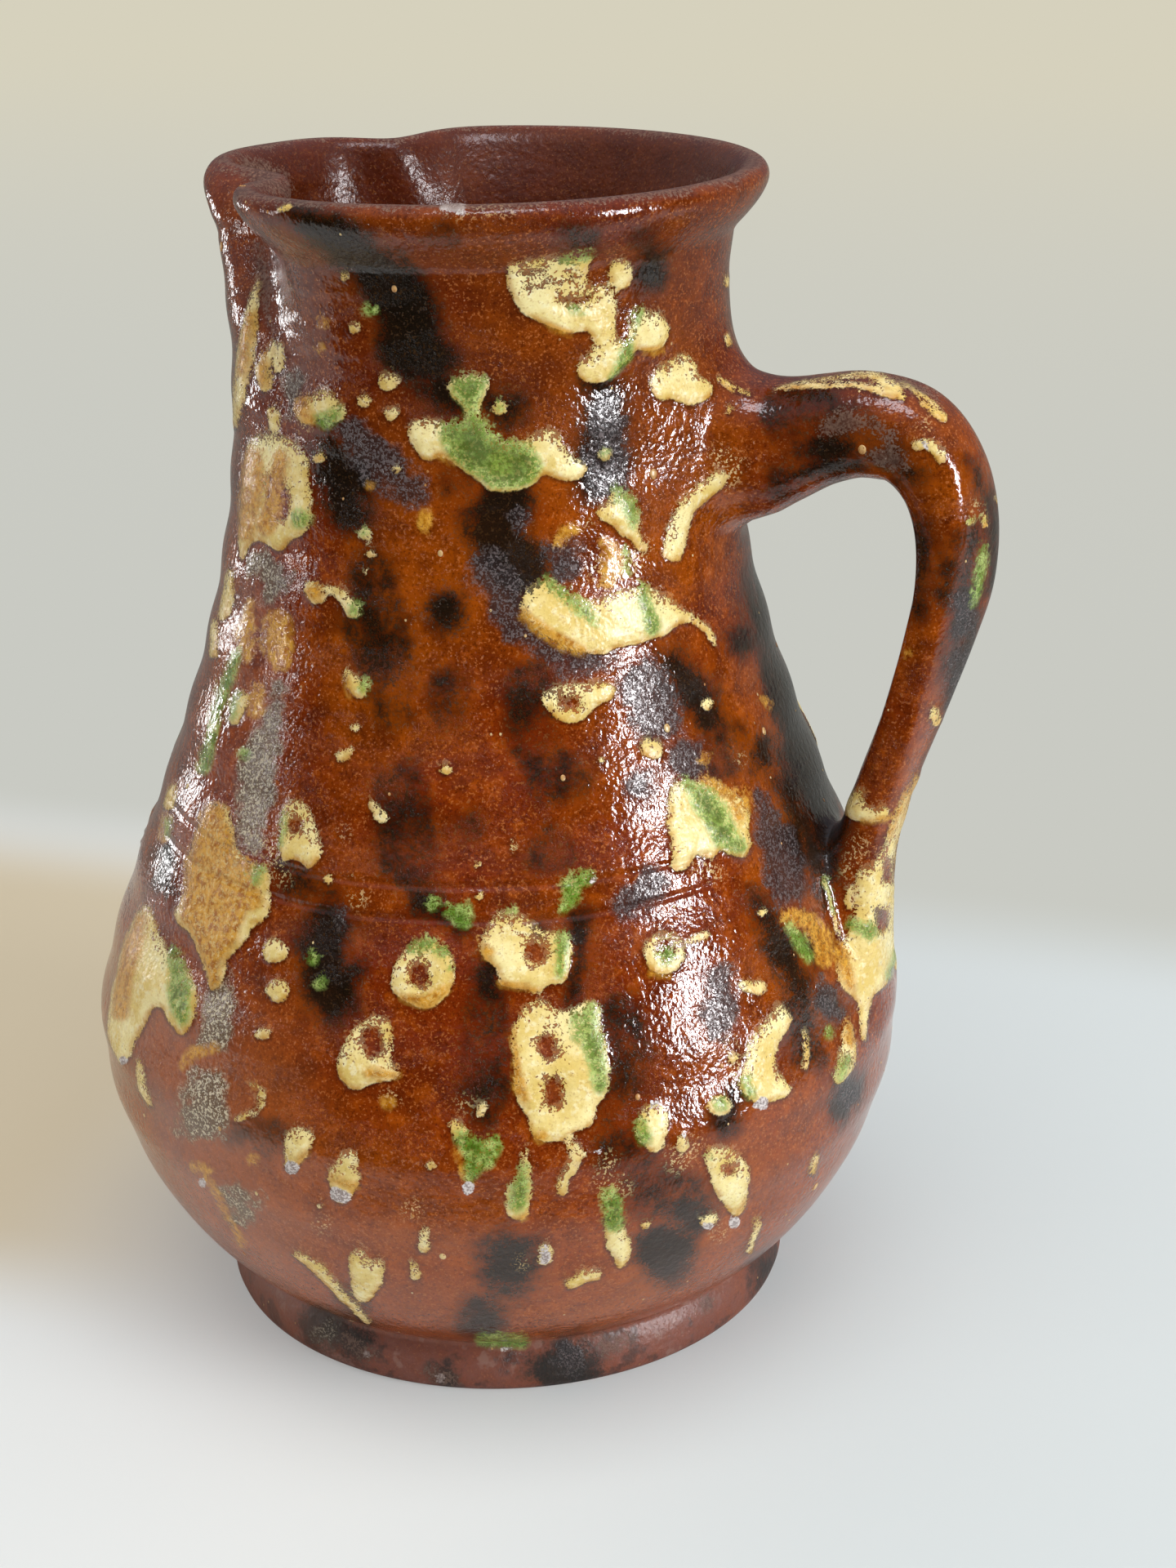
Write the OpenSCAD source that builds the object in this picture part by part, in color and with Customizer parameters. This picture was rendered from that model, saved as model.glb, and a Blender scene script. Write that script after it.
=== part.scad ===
// Slipware jug: one fired piece, a thrown body with a pinched spout, a pulled handle
// and splashes of coloured slip. Millimetres, +Z up, foot on z = 0, handle towards +X,
// spout towards -X.

/* [Body] */
// height of the rim above the table
jug_h = 223; // [190:1:260]
// diameter of the belly where it is widest
belly_d = 160; // [140:1:180]
// height at which the belly is widest
belly_z = 61; // [50:1:80]
// diameter of the neck at its narrowest
neck_d = 91; // [80:1:104]
// height of the foot band at the bottom
foot_h = 10.5; // [7:0.5:16]
// diameter of the foot
foot_d = 115; // [100:1:124]
// thickness of the wall
wall = 5.2; // [4:0.1:7]
// thickness of the floor
floor_t = 9; // [6:0.5:12]
// depth of the throwing rings left by the fingers
ring_depth = 0.25; // [0:0.05:0.6]
// spacing of the throwing rings
ring_pitch = 15; // [9:0.5:20]

/* [Rim and spout] */
// height of the flared lip at the top of the neck
lip_h = 12; // [8:0.5:15]
// how far the flared lip stands out from the neck
lip_out = 6.3; // [3:0.1:9]
// how far the throat of the spout is drawn out from the neck
spout_out = 1.9; // [0.5:0.1:4]
// depth of the deeper of the two finger dents beside the spout
dent_near = 15; // [6:0.5:17]
// depth of the shallower finger dent
dent_far = 6.5; // [3:0.5:12]
// how far down the neck the pinch reaches
pinch_len = 62; // [40:1:80]

/* [Handle] */
// height at which the middle of the upper end joins the neck
handle_top_z = 171; // [150:1:185]
// height at which the lower end fades into the belly
handle_low_z = 64; // [50:1:80]
// distance from the jug's axis to the outermost place of the handle
handle_reach = 98; // [88:0.5:115]
// width of the strap, seen from behind the jug
handle_w = 20; // [15:0.5:26]
// thickness of the strap at the top bend
handle_t = 18.5; // [12:0.5:22]
// thickness of the strap low down
handle_t_low = 11; // [8:0.5:15]

/* [Slip] */
// height the slip drops stand above the glaze
slip_h = 0.8; // [0.4:0.1:1.4]

/* [Hidden] */

n_turn = 74;
n_strap = 16;
belly_r = belly_d / 2;
neck_r = neck_d / 2;
foot_r = foot_d / 2;
lip_z = jug_h - lip_h;
neck_z = lip_z - 0.12 * (lip_z - belly_z);
glaze = [0.50, 0.22, 0.09];
cream = [0.90, 0.80, 0.50];
green = [0.45, 0.62, 0.30];
ochre = [0.76, 0.55, 0.18];

function mix(a, b, t) = a + (b - a) * t;
function clamp01(t) = min(1, max(0, t));
function soft(t) = let (u = clamp01(t)) u * u * (3 - 2 * u);

// turned profile: lower bowl, belly to neck, flare below the rolled band
function low_r(z) =
    let (u = clamp01((z - foot_h) / (belly_z - foot_h)))
    mix(foot_r - 1.6, belly_r, pow(1 - (1 - u) * (1 - u), 0.82));
function high_r(z) =
    let (u = clamp01((z - belly_z) / (neck_z - belly_z)))
    mix(neck_r, belly_r, (1 + cos(180 * pow(u, 0.71))) / 2);
function flare_r(z) = neck_r + 0.2 * lip_out * pow(clamp01((z - neck_z) / (lip_z - neck_z)), 2);
function turned_r(z) = z < belly_z ? low_r(z) : z < neck_z ? high_r(z) : flare_r(z);
function rings(z) =
    ring_depth * sin(360 * z / ring_pitch) * soft((z - foot_h - 12) / 30) * soft((lip_z - z) / 12);
function wall_r(z) = turned_r(z) + rings(z);

// pinch: a drawn throat between two finger dents, dying out down the neck
function bump(a, at, wide) = exp(-pow((a - at) / wide, 2));
function pinch(a, z) =
    let (
        h = clamp01((z - (jug_h - pinch_len)) / pinch_len),
        v = clamp01((z - (jug_h - 0.56 * pinch_len)) / (0.56 * pinch_len)),
        throat = spout_out * (0.55 * soft(h * 2.2) + 0.45 * soft((z - lip_z + 10) / 9))
            * (1 - 2.1 * soft((z - lip_z + 1) / (0.6 * lip_h))),
        deep = pow(h, 2.75),
        near = 60 - 34 * pow(v, 1.3),
        far = -60 + 11 * v
    )
    throat * bump(a, -8, 26)
    - dent_near * deep * bump(a, near, a > near ? 14 + 8 * v : 13)
    - dent_far * deep * bump(a, far, 12);
// height lost at the dents and gained at the lip, at the rim only
function lift(a) = 0.5 * bump(a, -4, 16) - 1.2 * bump(a, 28, 15) - 0.8 * bump(a, -49, 12);

// the turn is cut finer near the spout than near the handle
function turn_at(i) = let (t = 360 * i / n_turn - 180) 180 + t - 20 * sin(t);

n_low = 12;
n_mid = 23;
function outer_rows() = concat(
    [[foot_r - 5, min(foot_h - 4.5, 0.5 * floor_t)], [foot_r - 2.9, foot_h - 1]],
    [for (i = [1 : n_low]) let (z = mix(foot_h, belly_z, pow(i / n_low, 1.35))) [wall_r(z), z]],
    [for (i = [1 : n_mid]) let (z = mix(belly_z, lip_z, i / n_mid)) [wall_r(z), z]]
);
// the lip flares out, rolls over and turns back down into the neck
function lip_rows() = let (r = flare_r(lip_z), z = lip_z, h = lip_h, b = lip_out) [
    [r + 0.14 * b, z + 0.12 * h],
    [r + 0.44 * b, z + 0.29 * h],
    [r + 0.76 * b, z + 0.50 * h],
    [r + 0.96 * b, z + 0.70 * h],
    [r + 0.98 * b, z + 0.84 * h],
    [r + 0.86 * b, z + 0.95 * h],
    [r + 0.62 * b, z + 1.00 * h],
    [r + 0.34 * b, z + 0.97 * h],
    [r + 0.08 * b, z + 0.84 * h],
    [r - 0.16 * b, z + 0.58 * h],
    [r - 0.45 * b, z + 0.22 * h]
];
n_in = 12;
function inner_rows() = [
    for (i = [0 : n_in])
        let (
            z = mix(lip_z - 5, floor_t + 3, pow(i / n_in, 0.9)),
            u = clamp01((z - floor_t) / (belly_z - floor_t)),
            thick = wall * (1 + 0.7 * pow(1 - u, 2))
        )
        [turned_r(z) - thick, z]
];
function floor_rows() = let (r = turned_r(floor_t + 3) - 1.7 * wall) [[r - 5, floor_t + 0.8], [r * 0.5, floor_t]];
rows = concat(outer_rows(), lip_rows(), inner_rows(), floor_rows());

function wall_point(p, k) =
    let (
        turn = turn_at(k),
        a = turn - 180,
        top = soft((p[1] - lip_z) / lip_h),
        r = p[0] + pinch(a, p[1])
    )
    [r * cos(turn), r * sin(turn), p[1] + lift(a) * top];

// the flat foot, turned as a separate band that the bowl grows out of
module foot() {
    top = foot_h - 0.7;
    low = min(top - 0.5, 0.8 * floor_t);
    rotate_extrude($fn = 90)
        polygon([
            [0, 0], [foot_r - 1.5, 0], [foot_r - 0.4, 0.4], [foot_r, 1.5],
            [foot_r - 0.2, top - 2], [foot_r - 0.8, top - 0.6], [foot_r - 1.9, top],
            [foot_r - 7, top], [foot_r - 12, low], [0, low]
        ]);
}

module body_wall() {
    n = len(rows);
    points = concat(
        [for (p = rows) for (k = [0 : n_turn - 1]) wall_point(p, k)],
        [[0, 0, rows[0][1]], [0, 0, floor_t]]
    );
    faces = concat(
        [for (k = [0 : n_turn - 1]) [n * n_turn, k, (k + 1) % n_turn]],
        [
            for (j = [0 : n - 2]) for (k = [0 : n_turn - 1]) for (h = [0, 1])
                let (
                    m = (k + 1) % n_turn,
                    a = j * n_turn + k,
                    b = j * n_turn + m,
                    c = (j + 1) * n_turn + m,
                    d = (j + 1) * n_turn + k
                )
                h == 0 ? [a, c, b] : [a, d, c]
        ],
        [for (k = [0 : n_turn - 1]) [n * n_turn + 1, (n - 1) * n_turn + (k + 1) % n_turn, (n - 1) * n_turn + k]]
    );
    polyhedron(points, faces, convexity = 6);
}

// strap: middle line and thickness, from the neck round to the belly
bend_x = handle_reach - handle_t * 0.44;
drop_z = handle_top_z - handle_low_z;
function strap_stations() = [
    [wall_r(handle_top_z) + 6, handle_top_z + 2.4, 1.32 * handle_t, 1.18 * handle_w],
    [mix(neck_r, bend_x, 0.28), handle_top_z + 4.2, 1.20 * handle_t, 1.12 * handle_w],
    [mix(neck_r, bend_x, 0.45), handle_top_z + 6.6, 1.05 * handle_t, 1.02 * handle_w],
    [mix(neck_r, bend_x, 0.62), handle_top_z + 7.8, 1.00 * handle_t, handle_w],
    [mix(neck_r, bend_x, 0.80), handle_top_z + 6.0, 0.98 * handle_t, handle_w],
    [mix(neck_r, bend_x, 0.93), handle_top_z - 0.5, 0.92 * handle_t, handle_w],
    [mix(neck_r, bend_x, 0.995), handle_top_z - 9.5, 0.84 * handle_t, handle_w],
    [bend_x, handle_top_z - 20, mix(handle_t_low, handle_t, 0.36), handle_w],
    [mix(belly_r, bend_x, 0.78), handle_low_z + 0.72 * drop_z, mix(handle_t_low, handle_t, 0.22), 0.98 * handle_w],
    [mix(belly_r, bend_x, 0.36), handle_low_z + 0.59 * drop_z, 1.06 * handle_t_low, 0.97 * handle_w],
    [mix(belly_r, bend_x, -0.12), handle_low_z + 0.46 * drop_z, 1.0 * handle_t_low, 0.97 * handle_w],
    [mix(belly_r, bend_x, -0.47), handle_low_z + 0.35 * drop_z, 1.0 * handle_t_low, handle_w],
    [wall_r(handle_low_z + 0.26 * drop_z) + 3.2, handle_low_z + 0.26 * drop_z, 1.12 * handle_t_low, 1.04 * handle_w],
    [wall_r(handle_low_z + 0.18 * drop_z) + 1.2, handle_low_z + 0.18 * drop_z, 0.85 * handle_t_low, 1.08 * handle_w],
    [wall_r(handle_low_z + 0.10 * drop_z) - 1.0, handle_low_z + 0.10 * drop_z, 0.55 * handle_t_low, 0.98 * handle_w],
    [wall_r(handle_low_z) - 0.55 * wall, handle_low_z, 0.28 * handle_t_low, 0.6 * handle_w]
];
stations = strap_stations();
n_st = len(stations);
function knot(i) = stations[min(n_st - 1, max(0, i))];
function strap_at(s) =
    let (i = min(n_st - 2, floor(s)), t = s - i, a = knot(i - 1), b = knot(i), c = knot(i + 1), d = knot(i + 2))
    0.5 * (2 * b + (c - a) * t + (2 * a - 5 * b + 4 * c - d) * t * t + (3 * b - a - 3 * c + d) * t * t * t);
function strap_dir(s) =
    let (a = strap_at(max(0, s - 0.05)), b = strap_at(min(n_st - 1.001, s + 0.05)), v = [b[0] - a[0], b[1] - a[1]])
    v / norm(v);
function flat_cos(a) = sign(cos(a)) * pow(abs(cos(a)), 0.82);
function flat_sin(a) = sign(sin(a)) * pow(abs(sin(a)), 0.82);
function strap_ring(s) =
    let (p = strap_at(s), v = strap_dir(s))
    [
        for (k = [0 : n_strap - 1])
            let (
                a = 360 * k / n_strap,
                u = p[2] / 2 * flat_cos(a),
                w = -p[3] / 2 * flat_sin(a)
            )
            [p[0] - v[1] * u, w, p[1] + v[0] * u]
    ];
// the upper end spreads on the neck and is closed inside the wall
function root_ring(grow, deep) = [
    for (k = [0 : n_strap - 1])
        let (
            a = 360 * k / n_strap,
            y = -0.72 * grow * handle_w * sin(a),
            z = handle_top_z + 1 + (cos(a) > 0 ? 0.95 : 0.78) * grow * handle_t * cos(a),
            r = wall_r(z) + deep
        )
        [sqrt(r * r - y * y), y, z]
];
n_seg = 27;
strap_rings = concat(
    [root_ring(1.12, -0.55 * wall), root_ring(1.0, 0.15), root_ring(0.9, 0.9), root_ring(0.82, 2.6)],
    [for (i = [0 : n_seg]) strap_ring(i * (n_st - 1.001) / n_seg)]
);

module strap_handle() {
    n = len(strap_rings);
    last = strap_rings[n - 1];
    points = concat(
        [for (ring = strap_rings) each ring],
        [[wall_r(handle_top_z) - 0.55 * wall, 0, handle_top_z], (last[0] + last[n_strap / 2]) / 2]
    );
    faces = concat(
        [for (k = [0 : n_strap - 1]) [n * n_strap, k, (k + 1) % n_strap]],
        [
            for (j = [0 : n - 2]) for (k = [0 : n_strap - 1]) for (h = [0, 1])
                let (
                    m = (k + 1) % n_strap,
                    a = j * n_strap + k,
                    b = j * n_strap + m,
                    c = (j + 1) * n_strap + m,
                    d = (j + 1) * n_strap + k
                )
                h == 0 ? [a, c, b] : [a, d, c]
        ],
        [for (k = [0 : n_strap - 1]) [n * n_strap + 1, (n - 1) * n_strap + (k + 1) % n_strap, (n - 1) * n_strap + k]]
    );
    polyhedron(points, faces, convexity = 6);
}

// drops of slip: raised pads that follow the wall, bearing and height of the middle,
// width, length, lean in degrees
function skin(turn, z, up) =
    let (r = wall_r(z) + pinch(turn - 180, z) + up)
    [r * cos(turn), r * sin(turn), z];
n_edge = 12;
function pad_ring(d, grow, up) = [
    for (k = [0 : n_edge - 1])
        let (
            a = -360 * k / n_edge,
            wob = 1 + 0.09 * sin(3 * a + 40 * d[1]),
            x = 0.5 * d[2] * grow * wob * cos(a) * (1 + 0.22 * sin(a)),
            y = 0.5 * d[3] * grow * wob * sin(a),
            u = x * cos(d[4]) - y * sin(d[4]),
            v = x * sin(d[4]) + y * cos(d[4])
        )
        skin(d[0] + u / wall_r(d[1]) * 180 / PI, d[1] + v, up)
];
module slip_drop(d) {
    points = concat(
        [skin(d[0], d[1], slip_h)],
        pad_ring(d, 0.72, 0.85 * slip_h),
        pad_ring(d, 1.04, -0.45),
        pad_ring(d, 0.8, -0.45 * wall),
        [skin(d[0], d[1], -0.5 * wall)]
    );
    last = 3 * n_edge + 1;
    polyhedron(
        points,
        concat(
            [for (k = [0 : n_edge - 1]) [0, 1 + k, 1 + (k + 1) % n_edge]],
            [
                for (j = [0, 1]) for (k = [0 : n_edge - 1]) for (h = [0, 1])
                    let (
                        m = (k + 1) % n_edge,
                        a = 1 + j * n_edge + k,
                        b = 1 + j * n_edge + m,
                        c = 1 + (j + 1) * n_edge + m,
                        e = 1 + (j + 1) * n_edge + k
                    )
                    h == 0 ? [a, c, b] : [a, e, c]
            ],
            [for (k = [0 : n_edge - 1]) [last, last - n_edge + (k + 1) % n_edge, last - n_edge + k]]
        ),
        convexity = 4
    );
}
cream_drops = [
    [307, 154, 21, 11, -8], [331, 146, 17, 6, -20], [334, 190, 12, 12, 0], [279, 95, 12, 12, 0],
    [293, 101, 13, 12, 20], [298, 78, 15, 25, 0], [272, 81, 11, 14, 0], [320, 54, 9, 18, 0],
    [256, 115, 10, 13, 0], [229, 82, 20, 27, 10], [60, 120, 18, 13, 15], [98, 84, 14, 20, 0],
    [140, 132, 12, 18, -12]
];
green_drops = [[290, 183, 24, 15, -15], [327, 115, 18, 15, 20], [286, 65, 8, 14, 0], [76, 160, 16, 12, 25]];
ochre_drops = [[243, 104, 17, 28, 8], [328, 73, 12, 19, -8], [170, 96, 16, 22, 0]];
module slip_drops() {
    color(cream) for (d = cream_drops) slip_drop(d);
    color(green) for (d = green_drops) slip_drop(d);
    color(ochre) for (d = ochre_drops) slip_drop(d);
}

module jug() {
    color(glaze) foot();
    color(glaze) body_wall();
    color(glaze) strap_handle();
    slip_drops();
}

jug();
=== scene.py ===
import math
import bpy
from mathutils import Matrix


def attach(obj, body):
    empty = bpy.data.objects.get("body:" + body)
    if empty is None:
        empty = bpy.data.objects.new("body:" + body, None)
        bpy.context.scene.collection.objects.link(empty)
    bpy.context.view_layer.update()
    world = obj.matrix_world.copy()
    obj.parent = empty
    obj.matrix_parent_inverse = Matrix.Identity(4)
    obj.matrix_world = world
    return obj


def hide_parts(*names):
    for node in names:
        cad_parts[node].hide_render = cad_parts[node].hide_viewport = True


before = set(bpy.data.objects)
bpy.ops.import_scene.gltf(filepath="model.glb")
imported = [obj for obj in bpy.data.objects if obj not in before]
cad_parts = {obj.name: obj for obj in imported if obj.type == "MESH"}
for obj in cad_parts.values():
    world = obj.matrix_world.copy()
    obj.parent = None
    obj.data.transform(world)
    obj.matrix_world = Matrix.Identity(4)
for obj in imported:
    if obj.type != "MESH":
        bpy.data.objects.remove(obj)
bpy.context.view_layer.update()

from types import SimpleNamespace

import bpy
import numpy as np
from mathutils import Matrix, Vector, noise
from mathutils.bvhtree import BVHTree
from mathutils.kdtree import KDTree

# Shapes below are worked out in millimetres.
MM = 0.001  # metres in a millimetre
METRE = 1000.0  # millimetres in a metre

# The thrown body, the pinched rim and the pulled handle.
JUG_H = 223.0
BELLY_R = 80.0
BELLY_Z = 61.0
NECK_R = 45.5
FOOT_H = 10.5
FOOT_R = 57.5
WALL = 5.2
FLOOR = 9.0
RING_DEPTH = 0.25
RING_PITCH = 15.0
LIP_H = 12.0
LIP_OUT = 6.3
SPOUT_OUT = 1.9
DENT_NEAR = 15.0
DENT_FAR = 6.5
PINCH_LEN = 62.0
HANDLE_TOP = 171.0
HANDLE_LOW = 64.0
HANDLE_REACH = 98.0
HANDLE_W = 20.0
HANDLE_T = 18.5
HANDLE_T_LOW = 11.0
LIP_Z = JUG_H - LIP_H
NECK_Z = LIP_Z - 0.12 * (LIP_Z - BELLY_Z)
WINDOW_SIDE = -70.0  # bearing of the side that is cut finest
# Clay worked in round the handle: least x, half width, least radius, lowest and highest, farthest from it.
CORNER_BOX = (20, 34, 40, 46, 205)
CORNER_REACH = 18.0
WELD = 0.00035  # points this close are joined, in metres
EDGE_SEED = 4  # picks the uneven edges of the splashes
TURNING = 1850.0  # throwing lines on the neck, in radians per metre
BELLY_LINE = 0.1065  # height between the two lines on the belly, in metres
LAMP_AIM = 0.10  # height that the lamps face, in metres

# The camera that took the photograph: place in millimetres, axes, focal length in pixels.
EYE = np.array((159.24, -437.50, 286.41))
AHEAD = np.array((-0.28308, 0.88547, -0.36851))
ACROSS = np.array((0.95434, 0.29829, -0.01634))
FOCAL = 3100.0
MIDDLE = (720.0, 960.0)
# Level lines as shares of x and y: to the photograph's right, towards its camera, past the handle.
PHOTO_RIGHT = (0.954, 0.298)
TO_CAMERA = (0.34, -0.94)
PAST_HANDLE = (0.966, -0.26)


def unit(v):
    return v / np.linalg.norm(v)


AHEAD = unit(AHEAD)
ACROSS = unit(ACROSS - AHEAD * ACROSS.dot(AHEAD))
UPWARD = np.cross(ACROSS, AHEAD)


def to_photo(points):
    """Pixel x, pixel y and pixels per millimetre of points in millimetres."""
    d = points - EYE
    depth = d @ AHEAD
    x = MIDDLE[0] + FOCAL * (d @ ACROSS) / depth
    y = MIDDLE[1] - FOCAL * (d @ UPWARD) / depth
    return x, y, FOCAL / depth


# The turned form

def mix(a, b, t):
    return a + (b - a) * t


def soft(t):
    u = np.clip(t, 0.0, 1.0)
    return u * u * (3.0 - 2.0 * u)


def bump(a, at, wide):
    return np.exp(-((a - at) / wide) ** 2)


def low_r(z):
    u = np.clip((z - FOOT_H) / (BELLY_Z - FOOT_H), 0, 1)
    return mix(FOOT_R - 1.6, BELLY_R, (1 - (1 - u) ** 2) ** 0.82)


def high_r(z):
    u = np.clip((z - BELLY_Z) / (NECK_Z - BELLY_Z), 0, 1)
    return mix(NECK_R, BELLY_R, (1 + np.cos(math.pi * u ** 0.71)) / 2)


def flare_r(z):
    u = np.clip((z - NECK_Z) / (LIP_Z - NECK_Z), 0, 1)
    return NECK_R + 0.2 * LIP_OUT * u ** 2


def turned_r(z):
    z = np.asarray(z, dtype=float)
    return np.where(z < BELLY_Z, low_r(z), np.where(z < NECK_Z, high_r(z), flare_r(z)))


def wall_r(z):
    z = np.asarray(z, dtype=float)
    rings = RING_DEPTH * np.sin(2 * math.pi * z / RING_PITCH)
    return turned_r(z) + rings * soft((z - FOOT_H - 12) / 30) * soft((LIP_Z - z) / 12)


def pinch(a, z):
    """How far the wall is pushed in or out beside the spout; a is the turn from the spout."""
    h = np.clip((z - (JUG_H - PINCH_LEN)) / PINCH_LEN, 0, 1)
    v = np.clip((z - (JUG_H - 0.56 * PINCH_LEN)) / (0.56 * PINCH_LEN), 0, 1)
    throat = SPOUT_OUT * (0.55 * soft(h * 2.2) + 0.45 * soft((z - LIP_Z + 10) / 9))
    throat = throat * (1 - 2.1 * soft((z - LIP_Z + 1) / (0.6 * LIP_H)))
    deep = h ** 2.75
    near = 60 - 34 * v ** 1.3
    wide = np.where(a > near, 14 + 8 * v, 13)
    far = -60 + 11 * v
    out = throat * bump(a, -8, 26)
    return out - DENT_NEAR * deep * bump(a, near, wide) - DENT_FAR * deep * bump(a, far, 12)


def lift(a):
    return 0.5 * bump(a, -4, 16) - 1.2 * bump(a, 28, 15) - 0.8 * bump(a, -49, 12)


def smooth_line(points, steps):
    """Points of a smooth line through the given ones."""
    p = np.array([points[0]] + list(points) + [points[-1]], dtype=float)
    out = []
    for i in range(1, len(p) - 2):
        a, b, c, d = p[i - 1], p[i], p[i + 1], p[i + 2]
        for t in np.arange(steps) / steps:
            out.append(0.5 * (2 * b + (c - a) * t + (2 * a - 5 * b + 4 * c - d) * t ** 2
                              + (3 * b - a - 3 * c + d) * t ** 3))
    out.append(p[-2])
    return np.array(out)


def profile():
    """Half section of the jug: underside, foot, bowl, neck, rolled lip, inside, floor."""
    top = FOOT_H - 0.7
    foot = [(14, 0), (28, 0), (42, 0), (FOOT_R - 6, 0), (FOOT_R - 1.5, 0), (FOOT_R - 0.4, 0.4), (FOOT_R, 1.5),
            (FOOT_R, 3.0), (FOOT_R - 0.1, 4.6), (FOOT_R - 0.3, top - 3.4), (FOOT_R - 0.8, top - 2.0),
            (FOOT_R - 1.4, top - 0.9), (FOOT_R - 1.8, top)]
    low = [(float(wall_r(z)), z) for z in mix(FOOT_H, BELLY_Z, (np.arange(1, 53) / 52) ** 1.3)]
    high = [(float(wall_r(z)), z) for z in mix(BELLY_Z, LIP_Z, np.arange(1, 119) / 118)]
    r, h, b = float(flare_r(LIP_Z)), LIP_H, LIP_OUT
    roll = [(0, 0), (0.14, 0.12), (0.44, 0.29), (0.76, 0.50), (0.96, 0.70), (0.98, 0.84), (0.86, 0.95),
            (0.62, 1.0), (0.34, 0.97), (0.08, 0.84), (-0.16, 0.58), (-0.45, 0.22)]
    lip = smooth_line([(r + x * b, LIP_Z + z * h) for x, z in roll], 3)[1:]
    down = mix(LIP_Z - 5, FLOOR + 3, (np.arange(0, 25) / 24) ** 1.2)
    u = np.clip((down - FLOOR) / (BELLY_Z - FLOOR), 0, 1)
    inner = list(zip(turned_r(down) - WALL * (1 + 0.7 * (1 - u) ** 2), down))
    edge = float(turned_r(FLOOR + 3)) - 1.7 * WALL
    floor = [(edge - 5, FLOOR + 0.8), (edge * 0.5, FLOOR)]
    return np.array(foot + low + high + list(map(tuple, lip)) + inner + floor)


def mesh_from(name, points, faces):
    mesh = bpy.data.meshes.new(name)
    mesh.from_pydata((np.asarray(points) * MM).tolist(), [], faces)
    mesh.update()
    return mesh


def tube_faces(rings, n):
    """Quads between closed rings of n points, and a fan on each end point."""
    k = np.arange(n)
    m = (k + 1) % n
    faces = []
    for j in range(rings - 1):
        faces += np.stack((j * n + k, j * n + m, (j + 1) * n + m, (j + 1) * n + k), axis=1).tolist()
    first, last = rings * n, rings * n + 1
    faces += [(first, int(b), int(a)) for a, b in zip(k, m)]
    faces += [(last, (rings - 1) * n + int(a), (rings - 1) * n + int(b)) for a, b in zip(k, m)]
    return faces


def body_mesh(n=372):
    """The thrown body as one closed skin, cut finer towards the window side."""
    t = np.arange(n) * 2 * math.pi / n
    turn = t - 0.22 * np.sin(t - math.radians(WINDOW_SIDE))
    a = np.degrees(turn) % 360 - 180
    rows = profile()
    z = rows[:, 1][:, None]
    r = rows[:, 0][:, None] + pinch(a[None, :], z)
    height = z + lift(a)[None, :] * soft((z - LIP_Z) / LIP_H)
    points = np.stack((r * np.cos(turn), r * np.sin(turn), height), axis=2).reshape(-1, 3)
    points = np.vstack((points, (0, 0, 0), (0, 0, FLOOR)))
    return mesh_from("body", points, tube_faces(len(rows), n))


def strap_stations():
    bend = HANDLE_REACH - HANDLE_T * 0.44
    drop = HANDLE_TOP - HANDLE_LOW
    top, low, t, tl, w = HANDLE_TOP, HANDLE_LOW, HANDLE_T, HANDLE_T_LOW, HANDLE_W
    wr = lambda z: float(wall_r(z))
    return [
        (wr(top) + 6, top + 2.4, 1.32 * t, 1.18 * w),
        (mix(NECK_R, bend, 0.28), top + 4.2, 1.20 * t, 1.12 * w),
        (mix(NECK_R, bend, 0.45), top + 6.6, 1.05 * t, 1.02 * w),
        (mix(NECK_R, bend, 0.62), top + 7.8, t, w),
        (mix(NECK_R, bend, 0.80), top + 6.0, 0.98 * t, w),
        (mix(NECK_R, bend, 0.93), top - 0.5, 0.92 * t, w),
        (mix(NECK_R, bend, 0.995), top - 9.5, 0.84 * t, w),
        (bend, top - 20, mix(tl, t, 0.36), w),
        (mix(BELLY_R, bend, 0.78), low + 0.72 * drop, mix(tl, t, 0.22), 0.98 * w),
        (mix(BELLY_R, bend, 0.36), low + 0.59 * drop, 1.06 * tl, 0.97 * w),
        (mix(BELLY_R, bend, -0.12), low + 0.46 * drop, tl, 0.97 * w),
        (mix(BELLY_R, bend, -0.47), low + 0.35 * drop, tl, w),
        (wr(low + 0.26 * drop) + 3.2, low + 0.26 * drop, 1.12 * tl, 1.04 * w),
        (wr(low + 0.18 * drop) + 1.2, low + 0.18 * drop, 0.85 * tl, 1.08 * w),
        (wr(low + 0.10 * drop) - 1.0, low + 0.10 * drop, 0.55 * tl, 0.98 * w),
        (wr(low) - 0.55 * WALL, low, 0.28 * tl, 0.6 * w),
    ]


# Half of the strap's section below the bend: turn in degrees, share of thickness, share of width.
# There the strap is flatter and turned a little towards the window side.
RIDGED = [(0, 0.70, 0), (14, 0.67, 0.28), (28, 0.61, 0.55), (38, 0.50, 0.80), (45, 0.36, 0.94),
          (50, 0.23, 0.99), (56, 0.08, 1.0), (75, -0.14, 0.985), (100, -0.33, 0.965), (115, -0.45, 0.93),
          (124, -0.52, 0.84), (134, -0.55, 0.66), (156, -0.56, 0.33), (180, -0.56, 0)]
TWIST = 22.0


def power(x, e):
    return np.sign(x) * np.abs(x) ** e


def strap_section(a, ridge):
    """Section of the strap: rounded, or with a ridge along both sides."""
    turn = np.degrees(np.minimum(a, 2 * math.pi - a))
    table = np.array(RIDGED)
    thick = np.interp(turn, table[:, 0], table[:, 1])
    wide = np.interp(turn, table[:, 0], table[:, 2]) * np.sign(np.sin(a) + 1e-9)
    return mix(power(np.cos(a), 0.80), thick, ridge), mix(power(np.sin(a), 0.80), wide, ridge)


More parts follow.
